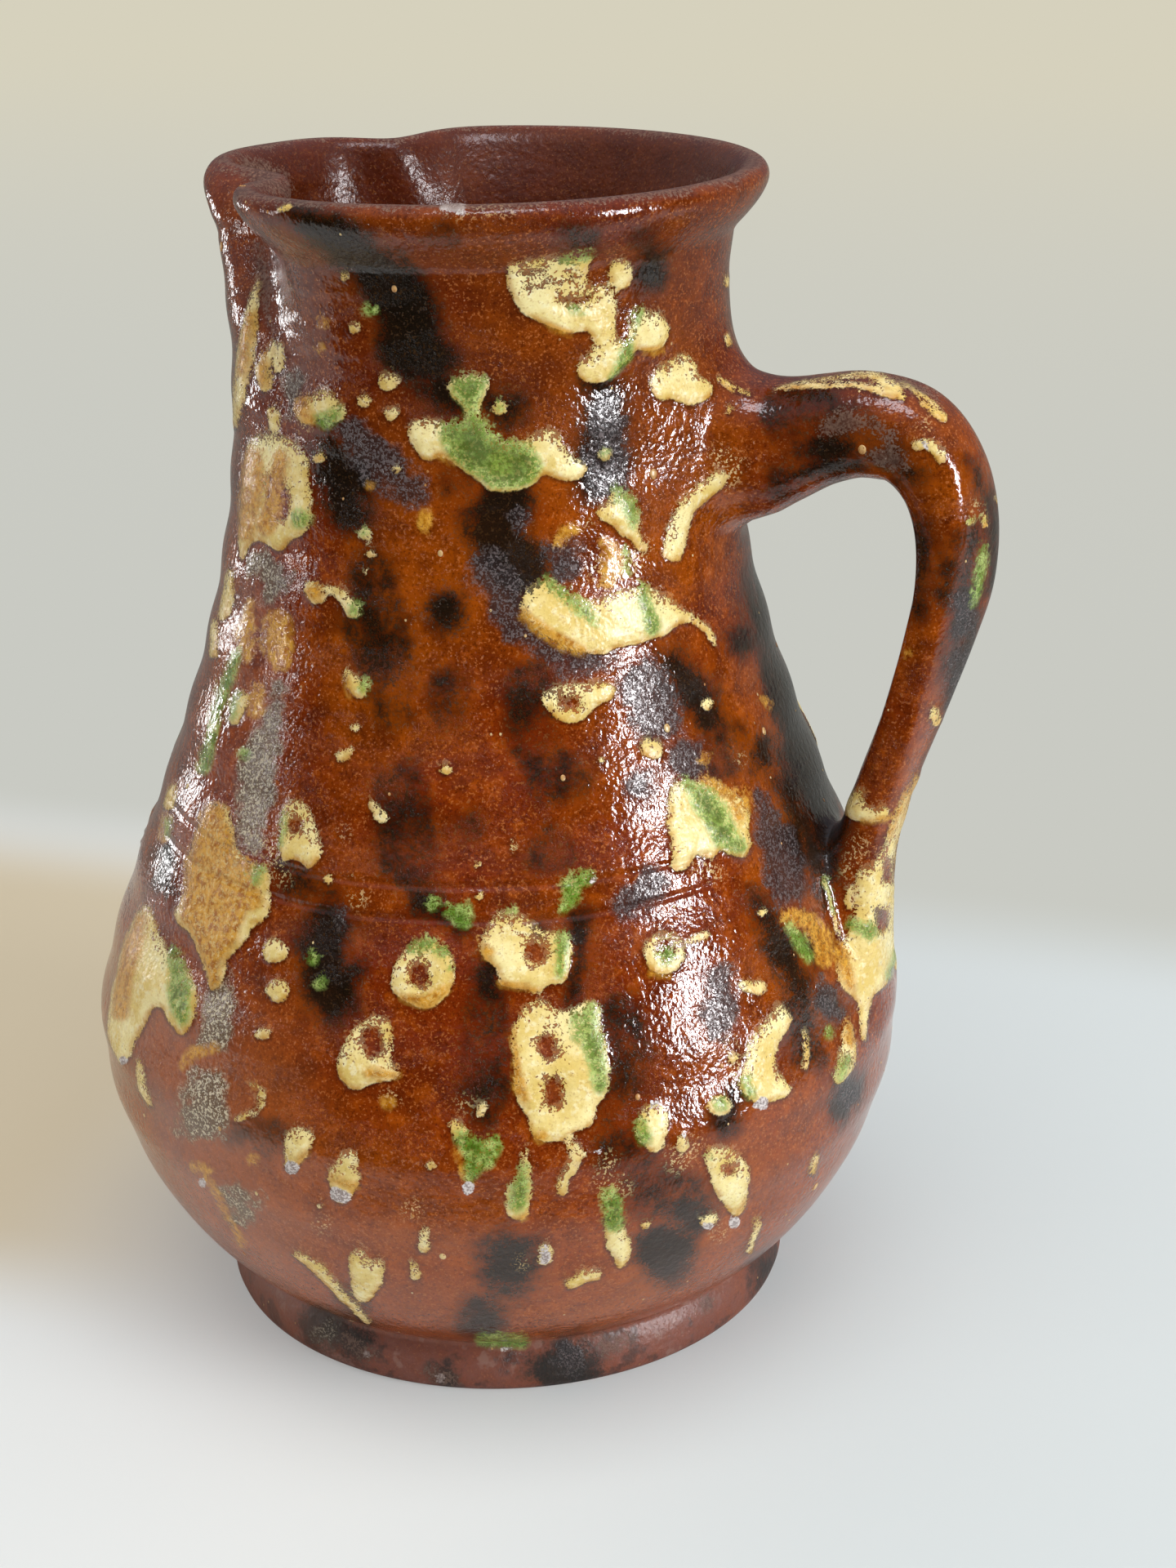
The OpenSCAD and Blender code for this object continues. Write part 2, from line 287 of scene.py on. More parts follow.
def handle_mesh(n=60, steps=9):
    """The pulled handle: its end spread on the neck, then sections along the strap."""
    a = 2 * math.pi * np.arange(n) / n
    rings = []
    for grow, deep in ((0.98, -0.6 * WALL), (0.93, -0.3 * WALL), (0.87, 0.0), (0.82, 2.0)):
        y = -0.72 * grow * HANDLE_W * np.sin(a)
        z = HANDLE_TOP + 1 + np.where(np.cos(a) > 0, 0.95, 0.78) * grow * HANDLE_T * np.cos(a)
        r = wall_r(z) + deep
        rings.append(np.stack((np.sqrt(r * r - y * y), y, z), axis=1))
    line = smooth_line(strap_stations(), steps)
    way = np.gradient(line[:, :2], axis=0)
    way = way / np.linalg.norm(way, axis=1)[:, None]
    for k, (p, d) in enumerate(zip(line, way)):
        ridge = float(bump(k / steps, 7.2, 2.4))
        thick, wide = strap_section(a, ridge)
        u, w, turn = p[2] / 2 * thick, -p[3] / 2 * wide, math.radians(TWIST * ridge)
        u, w = u * math.cos(turn) + w * math.sin(turn), w * math.cos(turn) - u * math.sin(turn)
        rings.append(np.stack((p[0] - d[1] * u, w, p[1] + d[0] * u), axis=1))
    ends = [(float(wall_r(HANDLE_TOP)) - 0.55 * WALL, 0, HANDLE_TOP), rings[-1].mean(axis=0)]
    return mesh_from("handle", np.vstack(rings + [ends]), tube_faces(len(rings), n))


# Joining body and handle

def coords(mesh):
    out = np.empty(len(mesh.vertices) * 3)
    mesh.vertices.foreach_get("co", out)
    return out.reshape(-1, 3) * METRE


def set_coords(mesh, points):
    mesh.vertices.foreach_set("co", (points * MM).ravel())
    mesh.update()


def normals(mesh):
    out = np.empty(len(mesh.vertices) * 3)
    mesh.vertices.foreach_get("normal", out)
    return out.reshape(-1, 3)


def tree_of(mesh):
    points = coords(mesh)
    return BVHTree.FromPolygons(points.tolist(), [tuple(p.vertices) for p in mesh.polygons])


def skin_distance(tree, points, reach):
    """Signed distance to a skin, positive outside, and its direction."""
    far = np.full(len(points), reach)
    way = np.zeros((len(points), 3))
    for i, p in enumerate(points):
        spot, normal, _, gap = tree.find_nearest(p, reach)
        if spot is None:
            continue
        out = Vector(p) - spot
        side = 1.0 if gap > 4 or out.dot(normal) >= 0 else -1.0
        far[i] = side * gap
        way[i] = out * (side / gap) if gap > 0.02 else normal
    return far, way


def wall_distance(points):
    """Signed distance to the turned wall, positive outside, and its direction."""
    x, y, z = points.T
    r = np.hypot(x, y)
    slope = wall_r(z + 0.5) - wall_r(z - 0.5)
    flat = 1 / np.sqrt(1 + slope ** 2)
    return (r - wall_r(z)) * flat, np.stack((x / r * flat, y / r * flat, -slope * flat), axis=1)


def new_object(name, mesh):
    obj = bpy.data.objects.new(name, mesh)
    bpy.context.scene.collection.objects.link(obj)
    return obj


def applied(obj):
    """The object's evaluated mesh as a plain mesh, with the modifiers taken off."""
    bpy.context.view_layer.update()
    depsgraph = bpy.context.evaluated_depsgraph_get()
    mesh = bpy.data.meshes.new_from_object(obj.evaluated_get(depsgraph), preserve_all_data_layers=True,
                                           depsgraph=depsgraph)
    obj.modifiers.clear()
    obj.data = mesh
    return mesh


def corner_size(points):
    """How wide the clay is worked in between neck and handle, wider above."""
    return mix(6.0, 15.0, soft((points[:, 2] - HANDLE_TOP + 14) / 22))


def luted(body, handle):
    """Body and handle as one skin, with clay worked into the corner between them."""
    handle_tree = tree_of(handle)
    jug, strap = new_object("jug_form", body), new_object("strap", handle)
    cut = jug.modifiers.new("join", "BOOLEAN")
    cut.operation, cut.solver, cut.object = "UNION", "MANIFOLD", strap
    weld = jug.modifiers.new("weld", "WELD")
    weld.merge_threshold = WELD
    mesh = applied(jug)
    bpy.data.objects.remove(strap)
    points = coords(mesh)
    least_x, side, least_r, low, high = CORNER_BOX
    x, y, z = points.T
    near = (x > least_x) & (np.abs(y) < side) & (np.hypot(x, y) > least_r)
    near &= (z > low) & (z < high) & (within(points) < 0.5)
    chosen = np.nonzero(near)[0]
    a, _ = wall_distance(points[chosen])
    b, _ = skin_distance(handle_tree, points[chosen], CORNER_REACH)
    inwards = corner_size(points[chosen]) + 4 - np.abs(a - b)
    held = (np.abs(a) < CORNER_REACH) & (np.abs(b) < CORNER_REACH) & (inwards > 0)
    chosen, inwards = chosen[held], inwards[held]
    start = points[chosen].copy()
    for step in range(6):
        if step < 5:
            points = relaxed(mesh, points, chosen, 3)
        p = points[chosen]
        a, way_a = wall_distance(p)
        b, way_b = skin_distance(handle_tree, p, CORNER_REACH + 4)
        k = corner_size(p)
        h = np.clip(k - np.abs(a - b), 0, None) / k
        level = np.minimum(a, b) - k * h * h / 4
        share = np.where(a < b, 1 - h / 2, h / 2)[:, None]
        slope = share * way_a + (1 - share) * way_b
        size = (slope ** 2).sum(axis=1)
        move = slope * (level / np.clip(size, 0.3, None))[:, None]
        points[chosen] = p - np.clip(move, -2.0, 2.0)
    points = relaxed(mesh, points, chosen, 7)
    points[chosen] = mix(start, points[chosen], soft(inwards / 4)[:, None])
    set_coords(mesh, points)
    return jug


def relaxed(mesh, points, chosen, rounds):
    """Moves the chosen points towards the middle of their neighbours."""
    edges = np.empty(len(mesh.edges) * 2, dtype=int)
    mesh.edges.foreach_get("vertices", edges)
    edges = edges.reshape(-1, 2)
    count = np.bincount(edges.ravel(), minlength=len(points))[:, None]
    for _ in range(rounds):
        total = np.zeros_like(points)
        np.add.at(total, edges[:, 0], points[edges[:, 1]])
        np.add.at(total, edges[:, 1], points[edges[:, 0]])
        middle = total / np.maximum(count, 1)
        points[chosen] = mix(points[chosen], middle[chosen], 0.5)
    return points


# The splashes of slip
# Each splash is drawn as it lies in the photograph, in pixels of its 1440 x 1920 frame.
# A stroke is a row of circles (x, y, radius); an area is an outline of corners (x, y).

CREAM_AREAS = [
    # neck fan with its stem
    [(623, 318), (660, 313), (700, 310), (724, 310), (722, 322), (716, 338), (722, 348), (735, 345),
     (748, 352), (755, 366), (754, 395), (757, 412), (771, 420), (772, 436), (760, 449), (748, 462),
     (730, 471), (712, 465), (704, 455), (707, 441), (722, 430), (728, 418), (722, 406), (708, 405),
     (694, 409), (672, 400), (640, 384), (626, 362), (621, 338)],
    # three lobes by the handle
    [(796, 464), (802, 450), (818, 441), (831, 432), (849, 437), (855, 449), (854, 460), (869, 465),
     (875, 475), (868, 489), (853, 496), (838, 496), (822, 487), (808, 489), (799, 480)],
    # cream and green splash under the spout
    [(499, 522), (514, 509), (534, 514), (557, 516), (574, 512), (570, 502), (551, 482), (547, 464),
     (557, 457), (580, 456), (601, 461), (602, 470), (595, 487), (586, 499), (589, 511), (598, 522),
     (609, 534), (627, 540), (644, 537), (656, 528), (673, 523), (690, 528), (693, 543), (699, 554),
     (717, 566), (721, 577), (714, 586), (696, 591), (679, 586), (661, 580), (656, 589), (638, 598),
     (615, 601), (598, 603), (586, 589), (563, 574), (543, 557), (528, 564), (514, 560), (505, 543)],
    # curl
    [(744, 600), (769, 600), (781, 623), (786, 638), (785, 654), (794, 663), (796, 671), (788, 675),
     (777, 669), (769, 658), (758, 658), (754, 646), (738, 637), (731, 627), (736, 619), (746, 615)],
    # the long splash with a tail
    [(637, 735), (643, 719), (661, 708), (683, 710), (695, 720), (715, 728), (735, 731), (754, 723),
     (772, 719), (785, 714), (804, 719), (820, 732), (835, 744), (850, 748), (865, 761), (876, 774),
     (878, 791), (873, 790), (868, 779), (854, 765), (840, 762), (827, 769), (815, 779), (800, 781),
     (788, 787), (769, 789), (754, 791), (742, 801), (727, 800), (704, 801), (684, 792), (661, 773),
     (640, 761)],
    # ring drop on the shoulder
    [(663, 856), (669, 846), (688, 835), (711, 833), (731, 831), (748, 832), (758, 845), (752, 857),
     (740, 858), (727, 865), (715, 879), (700, 886), (681, 883), (669, 869)],
    # patch beside the window light
    [(817, 963), (828, 952), (851, 953), (875, 953), (894, 967), (911, 977), (919, 998), (915, 1017),
     (923, 1032), (917, 1048), (905, 1054), (892, 1047), (878, 1040), (874, 1054), (859, 1049), (851, 1044),
     (844, 1059), (832, 1067), (819, 1063), (823, 1036), (817, 1017)],
    # tall patch at the far left
    [(302, 540), (315, 528), (330, 531), (345, 532), (362, 536), (376, 552), (380, 580), (384, 610),
     (380, 640), (372, 657), (356, 662), (350, 675), (338, 672), (320, 660), (305, 672), (296, 690),
     (292, 660), (294, 620), (298, 580)],
    # big ochre patch with a drip
    [(253, 983), (274, 981), (285, 1002), (289, 1037), (312, 1056), (330, 1064), (331, 1075), (330, 1102),
     (331, 1120), (320, 1131), (308, 1137), (299, 1156), (285, 1168), (278, 1175), (274, 1198), (264, 1216),
     (255, 1212), (253, 1191), (247, 1171), (239, 1160), (233, 1141), (214, 1129), (212, 1114), (224, 1098),
     (231, 1075), (231, 1048), (239, 1029), (245, 1002)],
    # patch at the belly's left edge
    [(178, 1102), (168, 1115), (158, 1132), (150, 1155), (143, 1190), (134, 1230), (130, 1262), (140, 1288),
     (150, 1303), (160, 1298), (166, 1275), (178, 1252), (188, 1234), (198, 1233), (204, 1246), (212, 1257),
     (222, 1270), (232, 1264), (240, 1245), (243, 1215), (236, 1195), (225, 1180), (210, 1165), (202, 1155),
     (196, 1140), (190, 1118)],
    # drop with a brown spot
    [(347, 983), (366, 975), (381, 987), (389, 1014), (399, 1041), (391, 1052), (378, 1066), (372, 1056),
     (360, 1050), (345, 1056), (343, 1033), (343, 1006)],
    # ring drops on the belly
    [(412, 1300), (418, 1280), (430, 1262), (444, 1246), (462, 1240), (478, 1245), (483, 1265), (480, 1290),
     (478, 1302), (491, 1308), (488, 1320), (470, 1322), (455, 1328), (440, 1335), (424, 1328), (415, 1315)],
    [(480, 1198), (481, 1179), (497, 1160), (516, 1148), (535, 1150), (551, 1160), (557, 1179), (555, 1202),
     (543, 1221), (528, 1234), (510, 1231), (493, 1223), (481, 1212)],
    [(585, 1160), (589, 1143), (601, 1125), (608, 1112), (624, 1110), (639, 1114), (651, 1125), (666, 1139),
     (681, 1141), (697, 1148), (704, 1158), (697, 1179), (696, 1198), (685, 1206), (670, 1204), (658, 1216),
     (647, 1212), (628, 1208), (608, 1206), (610, 1191), (601, 1181), (589, 1173)],
    # tall square splash
    [(630, 1245), (639, 1229), (655, 1221), (670, 1225), (685, 1239), (704, 1233), (716, 1221), (731, 1225),
     (737, 1237), (735, 1256), (743, 1283), (749, 1314), (748, 1328), (744, 1343), (731, 1351), (727, 1378),
     (711, 1383), (698, 1389), (694, 1397), (677, 1399), (663, 1395), (650, 1389), (650, 1370), (638, 1356),
     (629, 1343), (627, 1300), (628, 1264)],
    # crescent and its foot
    [(955, 1223), (969, 1240), (967, 1255), (955, 1267), (950, 1282), (950, 1305), (963, 1319), (970, 1335),
     (962, 1342), (945, 1346), (928, 1350), (917, 1346), (906, 1334), (900, 1318), (911, 1308), (913, 1290),
     (915, 1275), (925, 1259), (940, 1240)],
    # drop with a white tip, right
    [(862, 1420), (865, 1405), (885, 1399), (908, 1408), (917, 1431), (915, 1462), (910, 1486), (894, 1489),
     (881, 1466), (869, 1439)],
    # patch round the foot of the handle
    [(1047, 1062), (1060, 1062), (1075, 1045), (1088, 1022), (1095, 1000), (1108, 968), (1118, 952),
     (1114, 985), (1103, 1015), (1096, 1045), (1097, 1090), (1100, 1140), (1101, 1180), (1096, 1190),
     (1090, 1178), (1085, 1205), (1075, 1212), (1065, 1222), (1063, 1258), (1060, 1280), (1055, 1274),
     (1052, 1236), (1043, 1219), (1030, 1205), (1024, 1185), (1030, 1165), (1036, 1150), (1045, 1120),
     (1046, 1094)],
    [(1034, 982), (1044, 963), (1061, 961), (1064, 978), (1088, 986), (1089, 1001), (1067, 1004),
     (1048, 1004), (1036, 998)],
    # low fan
    [(425, 1535), (440, 1522), (452, 1540), (473, 1541), (471, 1562), (459, 1589), (450, 1596), (432, 1587),
     (432, 1566)],
]
CREAM_STROKES = [
    [(759, 330, 14), (760, 338, 15)], [(794, 404, 26)], [(766, 424, 9), (778, 415, 12)], [(317, 340, 3),
    (308, 385, 8), (302, 420, 11), (298, 455, 10), (293, 490, 7), (288, 520, 4)], [(335, 420, 5),
    (322, 450, 10), (327, 475, 6)], [(341, 422, 6), (340, 450, 6)], [(335, 502, 7), (337, 525, 6)],
    [(421, 338, 6)], [(434, 401, 8)], [(446, 491, 8)], [(476, 465, 12)], [(480, 505, 10)], [(389, 559, 7)],
    [(485, 576, 5)], [(448, 654, 8)], [(453, 678, 6)], [(448, 701, 4)], [(612, 500, 10)], [(740, 556, 9)],
    [(380, 505, 14), (398, 490, 17), (412, 505, 14)], [(880, 583, 10), (860, 600, 12), (838, 622, 12),
    (828, 650, 13), (823, 676, 12)], [(383, 722, 11), (390, 733, 9)], [(392, 722, 6), (412, 724, 7),
    (424, 735, 9), (433, 746, 10)], [(425, 820, 4), (436, 835, 11), (443, 845, 11)], [(433, 890, 6)],
    [(420, 927, 8), (430, 919, 5)], [(546, 940, 8)], [(865, 861, 8)], [(796, 915, 14)], [(733, 931, 5)],
    [(455, 982, 5), (467, 1002, 8)], [(403, 1074, 7)], [(337, 1162, 17)], [(341, 1212, 15)],
    [(324, 1265, 9)], [(428, 1073, 3)], [(283, 700, 5), (279, 728, 8), (276, 752, 6)], [(264, 760, 5),
    (262, 800, 6)], [(212, 962, 5), (208, 985, 6)], [(170, 1296, 3), (174, 1330, 6), (184, 1352, 4)],
    [(308, 1326, 5), (320, 1335, 5), (320, 1350, 5), (308, 1362, 5), (285, 1370, 3)], [(366, 1394, 18),
    (364, 1408, 16), (359, 1424, 9)], [(425, 1418, 12), (421, 1440, 19), (419, 1460, 12)], [(391, 1475, 4)],
    [(528, 1426, 6)], [(520, 1502, 4), (521, 1524, 7)], [(505, 1542, 4), (508, 1562, 6)], [(365, 1533, 5),
    (390, 1552, 9), (420, 1585, 7), (452, 1618, 4)], [(558, 1375, 8), (566, 1388, 11)], [(590, 1352, 6),
    (588, 1365, 4)], [(643, 1405, 5), (642, 1430, 8), (635, 1460, 15), (634, 1480, 13)], [(700, 1400, 6),
    (710, 1412, 8), (702, 1430, 7), (690, 1440, 7), (688, 1455, 9)], [(800, 1366, 17), (797, 1385, 19),
    (800, 1400, 12)], [(834, 1392, 6), (836, 1404, 8)], [(881, 1353, 15)], [(862, 1495, 8), (871, 1492, 8)],
    [(926, 1492, 4), (924, 1510, 5), (918, 1532, 3)], [(752, 1500, 12), (757, 1522, 15), (760, 1546, 7)],
    [(790, 1499, 6)], [(700, 1570, 8), (715, 1560, 9), (730, 1560, 8)], [(670, 1527, 8), (669, 1542, 8)],
    [(912, 1205, 8), (930, 1208, 9)], [(934, 1118, 6)], [(814, 1166, 27)], [(846, 1151, 4), (862, 1143, 6)],
    [(985, 1262, 3), (990, 1285, 3), (985, 1308, 4)], [(897, 1294, 7)], [(1037, 1255, 6), (1040, 1285, 10),
    (1036, 1300, 12), (1026, 1320, 7)], [(1122, 950, 4), (1103, 988, 5), (1087, 1025, 5)], [(1009, 1076, 2),
    (1021, 1117, 3), (1028, 1146, 3)], [(1040, 1090, 6), (1041, 1108, 5)], [(1144, 868, 5), (1146, 884, 6)],
    [(880, 463, 4), (896, 476, 5), (916, 482, 3)], [(949, 478, 2), (980, 469, 3), (1011, 463, 3),
    (1049, 458, 3), (1080, 461, 4)], [(962, 478, 2), (1000, 472, 3), (1040, 470, 3), (1062, 474, 5),
    (1085, 482, 6), (1104, 487, 4)], [(1076, 464, 6), (1094, 472, 10), (1088, 479, 8)], [(1107, 469, 4),
    (1125, 482, 4), (1142, 493, 4), (1157, 511, 4)], [(1131, 497, 3), (1145, 508, 4), (1155, 514, 4)],
    [(1122, 545, 7), (1138, 542, 8), (1150, 555, 9), (1153, 565, 5)], [(893, 501, 5)], [(998, 1415, 4),
    (993, 1436, 4)], [(586, 1056, 5)], [(586, 1095, 6)], [(626, 1025, 4)], [(628, 1041, 4)], [(905, 285, 2),
    (903, 315, 2)], [(890, 340, 4), (889, 352, 3)], [(889, 408, 3), (891, 420, 4)], [(352, 252, 4),
    (342, 258, 3)], [(1221, 606, 3), (1223, 618, 3)], [(1189, 638, 6)], [(1205, 628, 4), (1206, 642, 4)],
    [(297, 852, 9), (288, 880, 8)],
]
CREAM_HOLES = [
    [(686, 368, 2), (702, 367, 4), (718, 362, 3)], [(640, 334, 0.6), (668, 331, 0.6)], [(646, 352, 0.6),
    (676, 349, 0.6)], [(690, 860, 7), (702, 859, 8)], [(334, 590, 9), (342, 612, 13), (344, 628, 8)],
    [(362, 1008, 8), (362, 1013, 8)], [(456, 1268, 12), (458, 1282, 13)], [(514, 1190, 10),
    (514, 1197, 10)], [(652, 1166, 12), (658, 1169, 11)], [(671, 1276, 10), (672, 1286, 10)],
    [(677, 1327, 9), (678, 1345, 10)], [(612, 1121, 3), (632, 1122, 3)], [(892, 1431, 7)], [(1079, 1118, 6),
    (1079, 1132, 7)], [(704, 548, 7)], [(1036, 1298, 4)], [(815, 1163, 12)], [(1066, 976, 9),
    (1072, 984, 6)], [(1086, 1052, 3), (1087, 1075, 4)], [(300, 1340, 12), (306, 1352, 7)], [(700, 340, 2)],
    [(762, 384, 4), (763, 395, 3)],
]
OCHRE_STROKES = [
    [(536, 556, 5), (556, 564, 6)], [(705, 645, 7), (692, 650, 8), (686, 664, 6)], [(740, 665, 6),
    (752, 685, 15), (745, 710, 10)], [(642, 752, 8), (665, 773, 10), (690, 790, 10), (712, 799, 6)],
    [(672, 400, 4), (696, 409, 5)], [(790, 430, 5), (808, 428, 5)], [(865, 960, 8), (885, 973, 9)],
    [(312, 560, 14), (308, 600, 16), (306, 650, 14)], [(345, 560, 10), (330, 645, 12)], [(308, 385, 6),
    (302, 420, 8), (298, 455, 7)], [(324, 440, 6), (324, 470, 6)], [(305, 735, 4), (300, 775, 14),
    (302, 805, 8)], [(341, 765, 18), (341, 790, 20), (344, 808, 14)], [(313, 845, 8), (313, 870, 10)],
    [(387, 727, 11)], [(520, 632, 9), (520, 645, 9)], [(455, 592, 5)], [(392, 426, 5)], [(427, 830, 4),
    (430, 850, 4)], [(256, 1000, 12), (258, 1040, 18), (250, 1090, 22), (256, 1130, 24), (262, 1180, 10),
    (264, 1205, 7)], [(290, 1080, 24), (285, 1120, 20), (282, 1150, 12)], [(176, 1125, 8), (165, 1155, 12),
    (158, 1190, 12), (150, 1240, 10)], [(300, 1065, 14), (310, 1105, 14)], [(262, 1000, 16),
    (245, 1060, 16), (235, 1120, 14), (270, 1165, 12)], [(226, 1305, 5), (238, 1288, 8), (262, 1283, 6)],
    [(455, 1312, 7), (486, 1314, 5)], [(497, 1222, 6), (522, 1224, 9), (543, 1210, 6)], [(590, 1152, 4),
    (597, 1168, 8)], [(612, 1204, 4), (645, 1206, 5), (655, 1210, 3)], [(631, 1262, 3), (631, 1300, 5),
    (635, 1335, 9), (646, 1350, 4)], [(664, 1390, 8)], [(376, 1410, 5), (368, 1420, 5)], [(410, 1442, 5),
    (432, 1450, 6)], [(475, 1350, 8)], [(556, 1408, 3), (566, 1440, 4)], [(968, 1125, 10), (990, 1130, 12),
    (1008, 1150, 14), (1010, 1172, 12)], [(1030, 1165, 8), (1036, 1190, 8), (1042, 1210, 5)],
    [(1037, 1255, 5), (1040, 1278, 7)], [(1122, 950, 3), (1103, 988, 3), (1087, 1025, 3)], [(1058, 1003, 4),
    (1080, 1001, 3)], [(935, 858, 5), (943, 862, 5)], [(270, 1020, 16), (275, 1090, 26), (262, 1150, 14)],
    [(1073, 1000, 4), (1086, 1002, 4)], [(1112, 975, 2), (1104, 1000, 2)], [(893, 976, 6), (903, 1000, 7)],
    [(908, 972, 6), (914, 990, 6)], [(863, 929, 6)], [(372, 498, 12), (385, 515, 6)], [(205, 1000, 5),
    (200, 1025, 6)], [(395, 394, 6)], [(240, 1428, 6), (255, 1432, 5)], [(252, 1440, 4), (265, 1460, 4),
    (282, 1495, 3), (296, 1525, 4)], [(309, 1420, 6)], [(910, 1470, 3), (903, 1482, 4)], [(640, 1488, 6)],
    [(870, 1356, 4)], [(1111, 799, 4)], [(1145, 884, 4)], [(797, 1192, 4), (820, 1194, 4)], [(640, 560, 3)],
]
GREEN_AREAS = [
    [(538, 518), (574, 513), (570, 502), (553, 482), (551, 468), (561, 460), (580, 459), (597, 464),
     (598, 472), (590, 489), (585, 500), (589, 511), (598, 522), (609, 534), (627, 541), (648, 540),
     (660, 553), (663, 574), (655, 586), (638, 596), (615, 599), (600, 600), (588, 588), (567, 574),
     (549, 556), (540, 540)],
    [(203, 1158), (215, 1160), (222, 1178), (233, 1195), (237, 1215), (236, 1245), (228, 1262), (216, 1250),
     (208, 1225), (206, 1195)],
]
GREEN_STROKES = [
    [(692, 317, 5), (718, 314, 5)], [(700, 377, 5), (712, 380, 4)], [(748, 460, 4), (764, 434, 10),
    (768, 418, 6)], [(781, 384, 6), (776, 396, 5)], [(754, 602, 7), (768, 620, 11), (775, 640, 7)],
    [(765, 672, 4), (767, 700, 5)], [(668, 712, 5), (690, 725, 8), (714, 744, 11), (730, 760, 6)],
    [(785, 720, 7), (790, 745, 12), (798, 768, 11)], [(838, 958, 7), (856, 976, 16), (872, 998, 20),
    (884, 1024, 17), (903, 1038, 11)], [(369, 634, 12)], [(292, 800, 6), (277, 835, 8), (267, 870, 7),
    (258, 905, 7), (247, 940, 8)], [(290, 848, 5), (287, 878, 6)], [(300, 923, 8)], [(400, 515, 12),
    (414, 508, 9)], [(452, 380, 8), (460, 381, 4)], [(436, 738, 6), (435, 748, 7)], [(448, 838, 6),
    (449, 848, 5)], [(448, 654, 5)], [(612, 500, 7)], [(740, 556, 6)], [(383, 1173, 8)], [(393, 1204, 8)],
    [(318, 1068, 8), (316, 1080, 5)], [(347, 1000, 4), (346, 1035, 4)], [(505, 1163, 7), (525, 1156, 8),
    (545, 1168, 7)], [(552, 1185, 4)], [(687, 1152, 10), (688, 1175, 10), (684, 1192, 7)], [(615, 1113, 3),
    (632, 1113, 3)], [(725, 1236, 9), (720, 1262, 14), (730, 1300, 13), (736, 1328, 11)], [(705, 1245, 7),
    (708, 1270, 7)], [(718, 1076, 9), (698, 1083, 11), (703, 1100, 8), (691, 1113, 7)], [(531, 1108, 8)],
    [(552, 1116, 8), (565, 1122, 14), (570, 1112, 9)], [(565, 1390, 10), (580, 1410, 18), (578, 1430, 12),
    (574, 1445, 6)], [(605, 1400, 10), (592, 1420, 12)], [(642, 1420, 5), (636, 1455, 12), (634, 1472, 11)],
    [(783, 1375, 6), (788, 1394, 9)], [(882, 1353, 10)], [(816, 1170, 13)], [(745, 1466, 11),
    (752, 1495, 14)], [(910, 1320, 7), (918, 1338, 7)], [(868, 1415, 4)], [(966, 1132, 5), (979, 1156, 9),
    (991, 1172, 7)], [(1015, 1262, 5), (1015, 1268, 5)], [(1034, 1300, 8), (1026, 1320, 5)],
    [(1045, 1133, 9), (1063, 1140, 11)], [(1092, 1165, 4), (1086, 1195, 5)], [(1189, 638, 4)],
    [(1205, 634, 3)], [(1204, 668, 5), (1200, 700, 7), (1196, 725, 6), (1191, 742, 4)], [(590, 1640, 8),
    (615, 1641, 10), (640, 1643, 8)], [(1010, 1078, 2), (1022, 1118, 2)], [(207, 1003, 4), (205, 1022, 4)],
]
WHITE_TIP_AND_HIGHLIGHT_STROKES = [
    [(358, 1428, 8), (362, 1431, 6)], [(412, 1460, 8), (422, 1464, 8)], [(573, 1455, 8)], [(900, 1496, 8)],
    [(862, 1500, 5), (870, 1502, 4)], [(931, 1349, 9), (924, 1352, 4)], [(724, 1077, 5)], [(545, 254, 5),
    (566, 256, 7)], [(669, 1532, 6), (669, 1542, 6)], [(154, 1298, 5)], [(248, 1449, 5)], [(798, 1351, 6)],
    [(540, 1689, 6)], [(448, 1658, 5)], [(733, 1408, 4)], [(835, 1390, 3)], [(292, 852, 3)],
    # the last stroke, at (1126, 541) on the handle, is a painted highlight, not a bare tip
    [(617, 1654, 4), (640, 1654, 3)], [(1126, 541, 4), (1134, 548, 3)],
]
